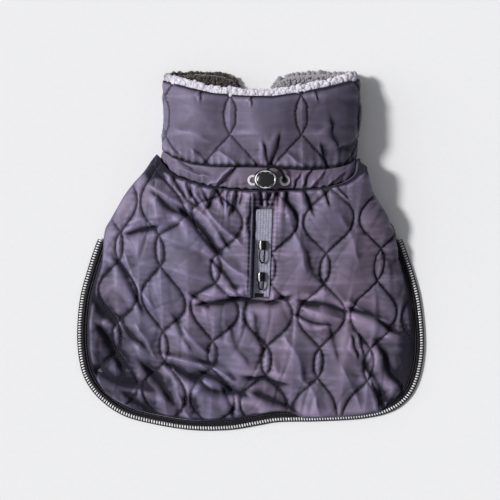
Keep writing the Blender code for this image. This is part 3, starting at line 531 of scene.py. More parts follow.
def scatter(name, places, shape_points, shape_faces, look):
    """Copies of one small shape, joined: places are 4x4 matrices in mm."""
    points = np.asarray(shape_points, float)
    homogeneous = np.c_[points, np.ones(len(points))]
    moved = np.einsum("nij,pj->npi", np.asarray(places), homogeneous)[..., :3].reshape(-1, 3)
    count = len(places)
    faces = [tuple(int(v) + n * len(points) for v in f) for n in range(count)
             for f in shape_faces]
    mesh = bpy.data.meshes.new(name)
    mesh.from_pydata((moved * MM).tolist(), [], faces)
    mesh.polygons.foreach_set("use_smooth", np.ones(len(mesh.polygons), bool))
    return linked(name, mesh, look)


def tube(points, radius, sides):
    """Points and faces of a small closed tube along points, with a radius for each."""
    p = np.asarray(points, float)
    run = np.gradient(p, axis=0)
    run /= np.linalg.norm(run, axis=1)[:, None]
    side = np.cross(run, (0.13, 0.21, 0.97))
    side /= np.linalg.norm(side, axis=1)[:, None]
    up = np.cross(side, run)
    turn = np.linspace(0, 2 * math.pi, sides, endpoint=False)
    rings = (p[:, None] + radius[:, None, None]
             * (np.cos(turn)[None, :, None] * side[:, None]
                + np.sin(turn)[None, :, None] * up[:, None]))
    faces = [(i * sides + j, i * sides + (j + 1) % sides, (i + 1) * sides + (j + 1) % sides,
              (i + 1) * sides + j) for i in range(len(p) - 1) for j in range(sides)]
    faces.append(tuple(range(sides))[::-1])
    faces.append(tuple((len(p) - 1) * sides + j for j in range(sides)))
    return rings.reshape(-1, 3), faces


def placed(at, run, up, scale=1.0):
    """A 4x4 matrix with x along run and z along up."""
    x = np.asarray(run, float)
    x = x / np.linalg.norm(x)
    z = np.asarray(up, float) - np.dot(up, x) * x
    z = z / max(np.linalg.norm(z), 1e-9)
    m = np.eye(4)
    m[:3, 0], m[:3, 1], m[:3, 2], m[:3, 3] = x * scale, np.cross(z, x) * scale, z * scale, at
    return m


def surface(thing, above=200.0):
    """A function that gives the height and normal of an object's top at x, y, in mm."""
    tree = BVHTree.FromPolygons([v.co / MM for v in thing.data.vertices],
                                [tuple(f.vertices) for f in thing.data.polygons])

    def at(x, y):
        place, normal = tree.ray_cast(Vector((x, y, above)), Vector((0, 0, -1.0)))[:2]
        return None if place is None else (place.z, np.array(normal))
    return at


# ---------------------------------------------------------------- the coat's surfaces
def smooth_step(x):
    """0 up to 0, 1 from 1 on, and a soft start and end between."""
    x = np.clip(x, 0, 1)
    return x * x * (3 - 2 * x)


def flat_sizes(grid, middle):
    """Distances along the cloth: across from its middle column, and down from its first row."""
    u = np.concatenate([np.zeros((grid.shape[0], 1)),
                        np.cumsum(np.linalg.norm(np.diff(grid, axis=1), axis=2), axis=1)], 1)
    v = np.concatenate([np.zeros((1, grid.shape[1])),
                        np.cumsum(np.linalg.norm(np.diff(grid, axis=0), axis=2), axis=0)], 0)
    return np.dstack([u - u[:, middle][:, None], v])


def back_base(columns, rows):
    """The back before its quilting, and how far across (-1 to 1) and down (0 to 1) it is."""
    edge = shifted(curve(EDGE, EDGE_POINTS), BINDING_WIDE + PIPING_WIDE + 3 * SEAM_GAP)
    a, b = nearest(edge, LEFT_CORNER), nearest(edge, RIGHT_CORNER)
    left_side, right_side = edge[SIDE_FROM:a:SIDE_EVERY], edge[-SIDE_FROM - 1:b:-SIDE_EVERY]
    turn = np.linspace(-1, 1, columns)
    s = 0.7 * turn + 0.3 * np.sin(turn * math.pi / 2)
    down = np.linspace(0, 1, rows)
    left = curve(list(LEFT_FOLD) + list(left_side) + [edge[a]], FOLD_POINTS)
    right = curve(list(RIGHT_FOLD) + list(right_side) + [edge[b]], FOLD_POINTS)
    neck = curve(NECK_LINE, NECK_POINTS)
    flat = patch(neck, edge[a:b + 1], left, right, (s + 1) / 2, down)
    across, run = np.meshgrid(s, down)
    high, side, power = (column(BACK, 0, k, run) for k in (1, 2, 3))
    z = side + (high - side) * np.maximum(1 - np.abs(across) ** CROWN_POWER, 0) ** power
    return np.dstack([flat, z]), across, run


def tucked(x):
    """1 along the right half of the hem, where the cover hides the binding."""
    return (smooth_step((x - TUCK_FROM) / TUCK_EASE[0])
            * smooth_step((TUCK_TO - x) / TUCK_EASE[1]))


def straight(foot, top, y):
    """x at y on the straight line from foot to top."""
    return foot[0] + (top[0] - foot[0]) * (y - foot[1]) / (top[1] - foot[1])


def zip_room(x, y):
    """0 under the zip, 1 clear of it."""
    from_middle = np.abs(x - straight(ZIP_FOOT, ZIP_TOP, y))
    beside = smooth_step((from_middle - ZIP_WIDE / 2 + 1.0) / 5.0)
    below = smooth_step((ZIP_FOOT[1] - 1.0 - y) / 5.0)
    above = smooth_step((y - ZIP_TOP[1] - 1.0) / 4.0)
    return np.clip(np.maximum(beside, np.maximum(below, above)), 0, 1)


def neck_gathers(x, y):
    """Depth of the gathers where the neck band holds the cloth, and of the dip at its seam."""
    under, level = np.maximum(column(UPPER, 0, 1, x) - y, 0), np.zeros_like(y)
    wave = 0.75 - 1.7 * np.abs(np.sin(math.pi * (x + 4.5 * noise(x, y * 0.5, 26.0, 81))
                                      / GATHER_EVERY + 1.2 * noise(x, level, 40.0, 83))) ** 0.8
    reach = GATHER_LONG * (1.0 + 0.9 * noise(x, y * 0.15, 13.0, 85))
    dense = 0.4 + 0.9 * np.exp(-(((x - 22) / 26) ** 2)) + 0.7 * np.exp(-(((x + 45) / 30) ** 2))
    return (GATHER_DEEP * dense * wave * np.exp(-under / np.maximum(reach, 2.5)),
            2.5 * np.exp(-((under / 3.0) ** 2)))


def zip_puckers(x, y):
    """Short waves beside the zip, square to it."""
    beside = np.abs(x - straight(ZIP_FOOT, ZIP_TOP, y)) - ZIP_WIDE / 2
    in_zip = smooth_step((y - ZIP_FOOT[1] + 4) / 6) * smooth_step((ZIP_TOP[1] + 14 - y) / 6)
    return 0.9 * in_zip * np.exp(-np.maximum(beside, 0) / 5.0) * np.sin(
        2 * math.pi * y / 4.7 + 2 * noise(x, y, 15.0, 91))


def back_height(x, y, across, run):
    """What quilting, gathers and creases add to the back, in mm."""
    user = settings()
    col, rep, pitch, repeat = back_phase(x, y)
    gap, seam = seam_distance(col, rep, pitch, repeat, BACK_ONION, BACK_PITCH)
    rise = puffs(gap, seam, y, x, y, user.puff / MM, 11)
    small = user.crumple / MM
    for size, turn, stretch, deep, seed in (
            (21.0, 0.9, 2.4, 0.55, 21), (18.0, -0.7, 2.6, 0.4, 31), (27.0, 1.5, 2.8, 0.85, 51)):
        rise = rise + deep * small * crease_web(x, y, size, turn, stretch, seed)
    rise = rise + small * (1.1 * noise(x, y, 26.0, 61) + 0.10 * noise(x, y, 7.0, 71))
    rise = rise + hand_creases(CREASES, x, y)
    gathers, seam_dip = neck_gathers(x, y)
    rise = rise - gathers
    rise = rise - seam_dip
    rise = rise + zip_puckers(x, y)
    rise = rise * zip_room(x, y) - 0.35 * (1 - zip_room(x, y))
    side = smooth_step((1 - np.abs(across)) / 0.055)
    ends = smooth_step(run / 0.02) * smooth_step((1 - run) / 0.03)
    return rise * side * ends


def odd(count):
    """The odd whole number at or next above a count."""
    return int(count) // 2 * 2 + 1


def back_painted_shading(x, y, across, run):
    """Painted shade on the back: how much darker it is made below the neck band and at the
    shoulders, at the listed spots, in the slit beside the zip's fold, along the edges, and down
    the right side, which turns away from the light.
    """
    neck = np.maximum(column(UPPER, 0, 1, x) - y, 0)
    painted_shading = 1.1 * np.exp(-((neck / 3.0) ** 2)) + 0.9 * np.exp(-((neck / 9.0) ** 2)) * (
        smooth_step((-60 - x) / 25) + smooth_step((x - 80) / 25))
    for px, py, reach, dark in PAINTED_SHADE_SPOTS:
        painted_shading = painted_shading + dark * np.exp(-(((x - px) ** 2 + (y - py) ** 2) / reach ** 2))
    middle = straight(WELT_FOOT, WELT_TOP, y) - 2.3
    slit = np.exp(-(((x - middle) / 1.2) ** 2)) + np.exp(-(((x - middle - 4.4) / 1.7) ** 2))
    painted_shading = painted_shading + 1.7 * slit * (y > WELT_FOOT[1] - 1) * (y < WELT_TOP[1])
    side = np.minimum(1 - np.abs(across), 1 - run)
    free = (1 - tucked(x) * (run > 0.9)) * smooth_step((8 - y) / 30)
    painted_shading = painted_shading + free * (0.8 * np.exp(-((side / 0.022) ** 2)) + 0.55 * np.exp(
        -(((1 - np.abs(across)) / 0.10) ** 2)))
    return painted_shading + (0.55 + 0.35 * noise(x, y, 24.0, 95)) * np.exp(
        -(((1 - across) / 0.15) ** 2)) * smooth_step((70 - y) / 40)


def back_cloth():
    """The quilted back."""
    fine = CLOTH_GRID / settings().grid
    base, across, run = back_base(odd(BACK_COLUMNS * fine), odd(BACK_ROWS * fine))
    x, y = base[..., 0], base[..., 1]
    rise = back_height(x, y, across, run)
    up = normals(base)
    outer = base + up * rise[..., None]
    inner = base - up * PANEL_WALL + up * np.minimum(rise, 0)[..., None]
    inner[..., 2] = np.maximum(inner[..., 2], 0.6)
    over = tucked(x) * smooth_step((run - 0.90) / 0.10)
    for layer, floor in zip((outer, inner), TUCK_FLOORS):
        layer[..., 1] -= TUCK_DROP * over
        layer[..., 2] = np.maximum(layer[..., 2], floor * np.minimum(over * 3, 1))
    # The back's painted shade goes into the cloth as its gap
    return cloth("back_panel_cloth", outer, inner, flat_sizes(base, base.shape[1] // 2), satin(),
                 coarse=2, rise=rise, gap=back_painted_shading(x, y, across, run))


def seam_points(table, k, sign, reps, spread, locate):
    """Points along one quilting seam."""
    phase = np.clip(2 * np.abs(reps - np.round(reps)), 0, 1)
    half, _ = onion(table, phase)
    return locate(k + sign * half / spread, reps)


def back_locate(col, rep):
    """Place on the back of a column and repeat number of the quilting."""
    eyes = np.array(EYES)
    x1, y1, x2, y2 = (np.interp(col, eyes[:, 0], eyes[:, j]) for j in (1, 2, 3, 4))
    return x1 + (x2 - x1) * rep, y1 + (y2 - y1) * rep


def stitch_shape(long, thick, sides=5):
    """One stitch: a short thread whose ends go down into the cloth."""
    half = long / 2
    x = np.array([-half, -half * 0.7, half * 0.7, half])
    z = np.array([-0.25, 0.16, 0.16, -0.25])
    return tube(np.column_stack([x, np.zeros(4), z]), thick / 2 * np.array([0.6, 1, 1, 0.6]),
                sides)


def stitches_along(points, height, long, gap, proud):
    """Placements of stitches along a flat line over a surface."""
    step = travel(points)
    count = int(step[-1] // (long + gap))
    places = []
    for n in range(count):
        at = along(points, [(n + 0.5) * (long + gap) / step[-1]])[0]
        ahead = along(points, [min(1, ((n + 0.5) * (long + gap) + STITCH_AHEAD) / step[-1])])[0]
        here, there = height(*at), height(*ahead)
        if here is None or there is None:
            continue
        run = np.array([*(ahead - at), there[0] - here[0]])
        if np.linalg.norm(run[:2]) < 1e-6 or abs(run[2]) > STITCH_CLIMB:
            continue
        places.append(placed((at[0], at[1], here[0] + proud), run, here[1]))
    return places


def back_stitching(cover):
    """The thread along the back's quilting lines."""
    height, long = surface(cover), settings().stitch / MM
    between, proud, thick = BACK_STITCH
    edge = shifted(curve(EDGE), STITCH_INSET)[HEM_PART]
    edge = edge[np.argsort(edge[:, 0])]
    reps = np.linspace(*BACK_REPEATS)
    places = []
    for k in range(-3, 5):
        for sign in (-1, 1):
            x, y = seam_points(BACK_ONION, k, sign, reps, BACK_PITCH, back_locate)
            keep = ((y < column(UPPER, 0, 1, x) - 1.0) & (y > np.interp(x, edge[:, 0], edge[:, 1]))
                    & (zip_room(x, y) > 0.9))
            for piece in runs_of(np.column_stack([x, y]), keep):
                places += stitches_along(piece, height, long, between, proud)
    return scatter("back_quilting_thread", places, *stitch_shape(long, thick), thread())


def runs_of(line, keep, least=6):
    """The stretches of a line where keep holds, of more than the least number of points."""
    edges = np.flatnonzero(np.diff(np.concatenate([[0], keep.astype(int), [0]])))
    return [line[a:b] for a, b in zip(edges[::2], edges[1::2]) if b - a > least]


def tube_section(share, top, side, under):
    """One section of the neck tube from the left slit's end round to the right one's: x, z,
    how far each column is under, and how far it is lifted off the upper layer."""
    left, right, high = (np.interp(share, *zip(*[(r[0], r[k]) for r in TUBE_SIDES]))
                         for k in (1, 2, 3))
    mid, half = (left + right) / 2, (right - left) / 2
    turn = np.linspace(-1, 1, top)
    u = 0.55 * turn + 0.45 * np.sin(turn * math.pi / 2)
    top_z = SIDE_HEIGHT + (high - SIDE_HEIGHT) * np.sqrt(1 - np.abs(u) ** TUBE_POWER)
    ends = [a + (b - a) * max(share, 0) for a, b in zip(SLIT_BAND, SLIT_RIM)]
    rounds = np.linspace(0, math.pi / 2, side + 1)[1:]
    run = np.linspace(0, 1, under + 1)[1:] ** 0.9
    sides = []
    for sign, end, at in ((-1, ends[0], left), (1, ends[1], right)):
        x = at - sign * UNDER_ROUND * (1 - np.cos(rounds))
        sides.append((np.concatenate([x, x[-1] + (end - x[-1]) * run]),
                      np.concatenate([SIDE_HEIGHT * (1 - np.sin(rounds)), np.zeros(under)]),
                      np.concatenate([np.zeros(side), run])))
    (lx, lz, lu), (rx, rz, ru) = sides
    over = np.full(top, -1.0)
    over[0] = over[-1] = 0.0
    turned = rounds / (math.pi / 2)
    lift = np.concatenate([np.ones(under), turned[::-1], np.zeros(top), turned, np.ones(under)])
    return (np.concatenate([lx[::-1], mid + half * u, rx]),
            np.concatenate([lz[::-1], top_z, rz]), np.concatenate([lu[::-1], over, ru]), lift)


def tube_lines(x, around, lift):
    """y of the band's lower edge, the seam and the rim at each column of the tube."""
    lines = []
    ease = smooth_step(lift)
    for k in (1, 2, 3):
        upper, under = column(UPPER, 0, k, x), column(UNDER, 0, k, np.clip(around, 0, 1))
        side = np.where(x < 0, UPPER[0][k], UPPER[-1][k])
        lines.append(np.where(lift > 0, (1 - ease) * side + ease * under, upper))
    return lines


def tube_grid(shares, depth, past=None, columns=TUBE_COLUMNS):
    """Points of the neck tube: share 0 is its seam, 1 its rim, -1 the band's lower edge. Each
    row lies depth inside the tube, and past further up the coat."""
    rows = []
    past = np.zeros(len(shares)) if past is None else past
    for share, deep, beyond in zip(shares, depth, past):
        x, z, around, lift = tube_section(share if share >= 0 else 0.25 * share, *columns)
        low, seam, rim = tube_lines(x, around, lift)
        y = seam + share * ((rim - seam) if share >= 0 else (seam - low)) + beyond
        run = np.gradient(np.column_stack([x, z]), axis=0)
        run /= np.linalg.norm(run, axis=1)[:, None]
        rows.append(np.column_stack([x + deep * run[:, 1], y, z - deep * run[:, 0]]))
    return np.array(rows)


def tube_out(grid):
    """Outward directions of the neck tube, square to its sections."""
    run = np.gradient(grid, axis=1)
    run /= np.maximum(np.linalg.norm(run, axis=2), 1e-9)[..., None]
    return np.dstack([-run[..., 2], np.zeros(run.shape[:2]), run[..., 0]])


def tube_arc(grid):
    """Distance round the tube from the middle of its upper layer."""
    step = np.concatenate([np.zeros((grid.shape[0], 1)), np.cumsum(np.linalg.norm(
        np.diff(grid, axis=1), axis=2), axis=1)], 1)
    far = 1000 * (grid[..., 2] < SIDE_HEIGHT)
    middle = np.abs(grid[..., 0] + far).argmin(axis=1)
    return step - np.take_along_axis(step, middle[:, None], 1)


def collar_phase(arc, y):
    """Column and repeat number of the quilting on the collar."""
    return (arc - COLLAR_EYE[0]) / COLLAR_PITCH, (COLLAR_EYE[1] - y) / COLLAR_REPEAT


def collar_cloth():
    """The quilted shell of the collar."""
    user = settings()
    shares = np.linspace(0, 1, COLLAR_ROWS)
    base = tube_grid(shares, np.zeros(COLLAR_ROWS))
    arc, y = tube_arc(base), base[..., 1]
    col, rep = collar_phase(arc, y)
    gap, seam = seam_distance(col, rep, COLLAR_PITCH, COLLAR_REPEAT, COLLAR_ONION, COLLAR_PITCH)
    moved = arc + COLLAR_SHIFT
    rise = puffs(gap, seam, y, moved, y, user.puff / MM, 111, pucker=0.5, beside=0.9, share=0.30)
    small = user.crumple / MM
    for size, turn, stretch, deep, seed in ((30.0, 1.2, 2.6, 0.30, 121),
                                            (26.0, -0.6, 2.6, 0.20, 131)):
        rise = rise + deep * small * crease_web(moved, y, size, turn, stretch, seed)
    rise = rise + small * (0.9 * noise(moved, y, 28.0, 151) + 0.1 * noise(arc, y, 7.0, 161))
    rise = rise + hand_creases(COLLAR_CREASES, base[..., 0], y)
    from_rim = (1 - np.repeat(shares[:, None], base.shape[1], 1)) * COLLAR_HIGH
    over = np.maximum(y - column(UPPER, 0, 2, base[..., 0]), 0)
    wave = np.sin(2 * math.pi * (arc + 2.0 * noise(arc, y, 20.0, 171)) / 8.2)
    rise = rise + 0.9 * wave * np.exp(-over / 7.0) - 2.2 * np.exp(-((over / 3.5) ** 2))
    rise = rise - 2.0 * np.exp(-((from_rim / 3.5) ** 2))
    low = base[..., 2] < SIDE_HEIGHT
    rise = np.where(low, rise * smooth_step(base[..., 2] / SIDE_HEIGHT), rise)
    outer = base + tube_out(base) * rise[..., None]
    outer[..., 2] = np.maximum(outer[..., 2], 0.05)
    inner = tube_grid(shares, np.full(COLLAR_ROWS, SHELL_WALL))
    inner = inner + tube_out(base) * np.minimum(rise, 0)[..., None] * 0.9
    # Painted shade along the neck band's seam and under the rim, growing to the right, where the
    # collar turns away from the light
    painted_shading = 1.5 * np.exp(-((over / 1.5) ** 2)) + 1.3 * np.exp(-((from_rim / 1.8) ** 2))
    painted_shading = painted_shading + 0.55 * smooth_step((base[..., 0] + 20) / 130)
    return cloth("collar_shell_cloth", outer, inner, np.dstack([arc, y]), satin_collar_painted_reflection(),
                 coarse=2, rise=rise, gap=painted_shading)


def collar_stitching(cover, nowhere=999):
    """The thread along the collar's quilting lines, on its upper layer."""
    height, long = surface(cover), settings().stitch / MM
    between, proud, thick = COLLAR_STITCH
    base = tube_grid(np.array([0.0, 0.5, 1.0]), np.zeros(3))
    upper = base[1, :, 2] > SIDE_HEIGHT
    arc, x = tube_arc(base)[1][upper], base[1, :, 0][upper]
    reps = np.linspace(*COLLAR_REPEATS)

    def locate(col, rep):
        return (np.interp(COLLAR_EYE[0] + col * COLLAR_PITCH, arc, x, left=nowhere, right=nowhere),
                COLLAR_EYE[1] - rep * COLLAR_REPEAT)

    places = []
    for k in range(-2, 4):
        for sign in (-1, 1):
            lx, ly = seam_points(COLLAR_ONION, k, sign, reps, COLLAR_PITCH, locate)
            keep = ((lx < nowhere / 2) & (ly > column(UPPER, 0, 2, lx) + 1.5)
                    & (ly < column(UPPER, 0, 3, lx) - 1.5))
            for piece in runs_of(np.column_stack([lx, ly]), keep):
                places += stitches_along(piece, height, long, between, proud)
    return scatter("collar_quilting_thread", places, *stitch_shape(long, thick), thread())


def band_cloth():
    """The gathered neck band that the drawcord runs in."""
    shares = np.linspace(-1, 0, BAND_ROWS)
    puff = -1.6 * np.sin(np.pi * (shares + 1) ** 0.8) - 0.25
    past = np.where(shares > -0.02, -2 * SEAM_GAP, 0.0)
    base = tube_grid(shares, puff, past)
    arc, y = tube_arc(base), base[..., 1]
    level = np.zeros_like(y)
    share = np.repeat(shares[:, None], base.shape[1], 1)
    slow = noise(arc, level, 28.0, 201)
    wave = (np.sin(2 * math.pi * (arc + 3 * slow) / 9.8)
            + 0.5 * np.sin(2 * math.pi * (arc + 2 * noise(arc, level, 19.0, 203)) / 5.3 + 1))
    lower = smooth_step(1 - (share + 1) / 0.75)
    rise = (0.28 * wave * lower * (1 + noise(arc, level, 45.0, 211))
            + 0.9 * noise(arc, y, 19.0, 205)
            + 0.8 * crease_web(arc + BAND_SHIFT, y, 17.0, 0.5, 2.4, 207)
            + hand_creases(BAND_CREASES, base[..., 0], y))
    rise = rise * (base[..., 2] > 2) - 0.9 * smooth_step((share + 0.12) / 0.12)
    step = lower * (0.5 * np.sin(2 * math.pi * (arc + 6 * slow) / 10.8)
                    + 0.9 * noise(arc, level, 7.0, 209)) * (base[..., 2] > 4)
    outer = base + tube_out(base) * rise[..., None]
    inner = tube_grid(shares, puff + BAND_WALL, past)
    for layer, floor in ((outer, 0.0), (inner, 0.3)):
        layer[..., 1] -= step
        layer[..., 2] = np.maximum(layer[..., 2], floor)
    # Painted shade at the band's seam with the collar and along its lower edge
    painted_shading = 1.4 * smooth_step((share + 0.10) / 0.10) + 0.5 * smooth_step((-0.93 - share) / 0.07)
    return cloth("neck_band_cloth", outer, inner, np.dstack([arc, y]), satin(), coarse=2,
                 rise=rise, gap=painted_shading)


def lining_cloth(straight_rows=30, rolled_rows=16):
    """The fleece lining, which rolls out over the collar's rim."""
    shares = np.concatenate([np.linspace(0.02, 1, straight_rows), np.ones(rolled_rows)])
    turn = np.linspace(0, 1, rolled_rows) * math.pi / 2
    back = SHELL_WALL + SEAM_GAP
    past = np.concatenate([np.zeros(straight_rows),
                           SEAM_GAP + 0.2 + (PILE_PROUD - 3.8) * np.sin(turn)])
    outer = np.concatenate([np.full(straight_rows, back), 0.6 + 3.0 * (1 - np.cos(turn))])
    inner = np.concatenate([np.full(straight_rows, back + PILE_WALL),
                            back + PILE_WALL - 3.2 * (1 - np.cos(turn))])
    face, rear = (tube_grid(shares, deep, past, PILE_COLUMNS) for deep in (outer, inner))
    arc, y = tube_arc(face), face[..., 1]
    bumps = 0.55 * noise(arc, y, 3.4, 301) + 0.4 * noise(arc, y, 5.5, 303)
    out = tube_out(face)
    face = face + out * (bumps * (shares[:, None] > 0.985))[..., None]
    rear = rear - out * (0.4 + bumps)[..., None]
    face[..., 2], rear[..., 2] = np.maximum(face[..., 2], 0.1), np.maximum(rear[..., 2], 0.3)
    return cloth("collar_lining_fleece", face, rear, np.dstack([arc, y]), pile())


def curl_shape(seed):
    """A small lumpy knot of wool."""
    shape = bmesh.new()
    bmesh.ops.create_uvsphere(shape, u_segments=7, v_segments=5, radius=1.0)
    rng = np.random.default_rng(seed)
    lumps = rng.normal(size=(5, 3))
    lumps /= np.linalg.norm(lumps, axis=1)[:, None]
    points = np.array([v.co for v in shape.verts])
    near = np.exp(3.0 * (points @ lumps.T - 1))
    points = points * (0.76 + 0.42 * near.max(axis=1))[:, None] * (1.0, 0.92, 0.8)
    # sorted, since a new sphere's faces come in another order on each run
    faces = sorted([v.index for v in f.verts] for f in shape.faces)
    shape.free()
    return points, faces


def curl_field(name, rows, count, seed, density, size):
    """Curls over some rows of the neck tube; density is for its lower and its upper part."""
    rng = np.random.default_rng(seed)
    grid = tube_grid(*rows, CURL_COLUMNS)
    out = tube_out(grid)
    step = np.cumsum(np.concatenate([[0], np.linalg.norm(np.diff(grid[-1], axis=0), axis=1)]))
    weight = np.where(grid[-1, :, 2] < SIDE_HEIGHT, *density)
    mass = np.cumsum(np.concatenate([[0], np.diff(step) * (weight[1:] + weight[:-1]) / 2]))
    places = []
    for pick, row, spin, big in zip(rng.uniform(0, mass[-1], count),
                                    rng.uniform(0, grid.shape[0] - 1, count),
                                    rng.uniform(0, 6.28, count),
                                    rng.uniform(size[0], size[1], count)):
        j = int(np.searchsorted(mass, pick))
        i = int(row)
        at = grid[i, min(j, grid.shape[1] - 1)]
        away = out[i, min(j, grid.shape[1] - 1)]
        run = np.array([math.cos(spin), math.sin(spin), 0.3 * math.sin(3 * spin)])
        at = at + rng.normal(size=3) * 0.55
        at[2] = max(at[2], big * 0.8)
        places.append(placed(at, run, away + rng.normal(size=3) * 0.4, big))
    return scatter(name, places, *curl_shape(seed), pile())


def fleece_curls(rows=12):
    """The separate curls along the rim and in the open throat."""
    count = settings().curls
    turn = np.linspace(0, 1, rows) * math.pi / 2
    rim = (np.ones(rows), 1.9 + 3.4 * (1 - np.cos(turn)),
           0.6 + (PILE_PROUD - 2.6) * np.sin(turn))
    inside = (np.linspace(0.62, 1.0, rows),
              np.full(rows, SHELL_WALL + SEAM_GAP + PILE_WALL + 0.6),
              np.linspace(0, PILE_PROUD * 0.35, rows))
    return [curl_field("collar_rim_curls", rim, int(count * 0.36), 5, (0.55, 1.0), (1.4, 3.5)),
            curl_field("throat_curls", inside, int(count * 0.60), 9, (1.0, 0.15), (1.0, 2.1))]


# ---------------------------------------------------------------- chest wings and trims
def lap(x):
    """How far the left wing is lifted where it lies on the right one."""
    return LAP_LIFT * smooth_step((x - LAP_FROM) / (LAP_TO - LAP_FROM))


def wing(side, lower, end, turns=14, count=60):
    """A chest wing: it turns under at the coat's side and lies flat below, with its binding."""
    left = side == "left"
    base, _, _ = back_base(61, 161)
    fold = base[:, 0 if left else -1]
    fold = fold[fold[:, 1] > FOLD_ENDS]
    line, height = fold[:, :2], fold[:, 2] - SEAM_GAP
    down = travel(line) / travel(line)[-1]
    run = np.gradient(line, axis=0)
    run /= np.linalg.norm(run, axis=1)[:, None]
    inward = np.column_stack([-run[:, 1], run[:, 0]]) * (1 if left else -1)
    deep = np.interp(down, (0, 1), (WING_UNDER, WING_UNDER / 2))
    in_deep, in_high = np.maximum(deep - WING_WALL, 1.5), np.maximum(height - WING_WALL, 1.2)
    rows, inner = [], []
    for turn in np.linspace(0, math.pi / 2, turns):
        for layer, away, high in (
                (rows, deep * (1 - math.cos(turn)), height * (1 - math.sin(turn))),
                (inner, deep - in_deep * math.cos(turn), height - in_high * math.sin(turn))):
            layer.append(np.column_stack([line + inward * away[:, None], high]))
    start = rows[-1][:, :2]
    neck = np.array([start[0], (start[0] + end[0]) / 2, end[0]])
    edge = curve([tuple(start[-1])] + list(lower) + [end[1]], count)
    flat = patch(start, np.array(end), neck, edge, down, np.linspace(0, 1, count)[1:])
    lift = lap(flat[..., 0]) if left else np.zeros(flat.shape[:2])
    share = np.linspace(0, 1, count - 1)[:, None]
    settle, ease = smooth_step(share / 0.2), smooth_step(share / 0.3) * 0.8
    thick = WING_WALL * settle + inner[-1][:, 2][None] * (1 - settle)
    fx, fy = flat[..., 0], flat[..., 1]
    ripple = 0.4 * noise(fx, fy, 16.0, 401) + 0.35 * crease_web(fx, fy, 12.0, 1.2, 2.0, 403)
    rows += list(np.dstack([flat, lift]))
    inner += list(np.dstack([flat, lift + thick + ripple * ease]))
    rows, inner = np.array(rows), np.array(inner)
    made = cloth("chest_wing_%s_cloth" % side, rows, inner, flat_sizes(rows, 0), satin_painted_shade())
    return made, wing_binding(side, np.vstack([start[-1:], flat[:, -1]]), left)


def wing_binding(side, edge, left):
    """The folded tape along a wing's lower edge."""
    path = along(shifted(edge, SEAM_GAP * (-1 if left else 1)), np.linspace(0.04, 1, 120))
    path = path[::-1] if left else path
    base = lap(path[:, 0]) if left else np.zeros(len(path))
    return strip("wing_binding_%s_tape" % side, path, WING_BINDING_WIDE, WING_BINDING_HIGH,
                 tape(), base, ((0, .55), (.1, .9), (.3, 1), (.6, .96), (.66, .8), (.72, .95),
                                (.92, .85), (1, .6)), 17)


def strip(name, line, wide, high, look, base, profile, steps):
    """A band of cloth along a flat line, wide to its left, resting at base. Its height and base
    are one number, or one for each point of the line."""
    share = np.linspace(0, 1, steps)
    rise = np.interp(share, *zip(*profile))
    rows = [shifted(line, wide * s) for s in share]
    base = np.broadcast_to(base, len(line))
    outer = np.array([np.column_stack([r, base + high * k]) for r, k in zip(rows, rise)])
    inner = np.array([np.column_stack([r, base]) for r in rows])
    return cloth(name, outer, inner, flat_sizes(outer, 0), look)


def hem_line(inset):
    """The coat's lower edge from one trim end to the other, moved inwards."""
    edge = shifted(curve(EDGE, EDGE_POINTS), inset)
    edge = edge[edge[:, 1] < TRIM_STARTS]
    return along(edge, np.linspace(0, 1, HEM_POINTS))


def edge_trims():
    """The piping, the binding, the coil and the thread round the coat's edge."""
    piping = strip("edge_piping_tape", hem_line(-PIPING_OUT), PIPING_WIDE + PIPING_OUT,
                   PIPING_HIGH, tape(), SEAM_GAP,
                   ((0, .35), (.12, .85), (.3, .9), (.7, .9), (.9, .85), (1, .3)), 11)
    inner = hem_line(PIPING_WIDE + SEAM_GAP)
    high = BINDING_HIGH * (1 - 0.55 * tucked(inner[:, 0]) * (inner[:, 1] < HEM_FROM))
    binding = strip("edge_binding_tape", inner, BINDING_WIDE, high, tape(), 0,
                    ((0, .25), (.06, .62), (.2, .92), (.38, 1), (.52, .88), (.58, .45),
                     (.62, .45), (.68, .82), (.82, .95), (.94, .82), (1, .35)), 31)
    return piping, binding, edge_coil(), edge_stitching()


def edge_coil():
    """The turns of the edge coil: small bowed rods square to the edge."""
    line = hem_line(PIPING_WIDE / 2 + 0.5)
    count = int(travel(line)[-1] / (settings().coil_pitch / MM))
    middles = along(line, np.linspace(0, 1, count))
    places = [placed((at[0], at[1], SEAM_GAP + PIPING_HIGH * 0.9 - 0.1), (-way[1], way[0], 0.0),
                     (0, 0, 1)) for at, way in zip(middles, np.gradient(middles, axis=0))]
    bow = np.linspace(-1, 1, len(COIL_RADII))
    rod = np.column_stack([bow * COIL_REACH, 0.2 * bow, 0.5 * (1 - bow ** 2)])
    return scatter("edge_coil", places, *tube(rod, np.array(COIL_RADII), COIL_SIDES), coil())


def edge_stitching():
    """Two rows of thread on the binding."""
    between, proud, thick = EDGE_STITCH
    places = []
    for across, high in ((0.6, 0.5), (0.84, 0.97)):
        line = hem_line(PIPING_WIDE + SEAM_GAP + BINDING_WIDE * across)
        flat = (BINDING_HIGH * high, np.array([0, 0, 1.0]))
        places += stitches_along(line, lambda x, y: flat, EDGE_STITCH_LONG, between, proud)
    return scatter("edge_thread", places, *stitch_shape(EDGE_STITCH_LONG, thick), thread())


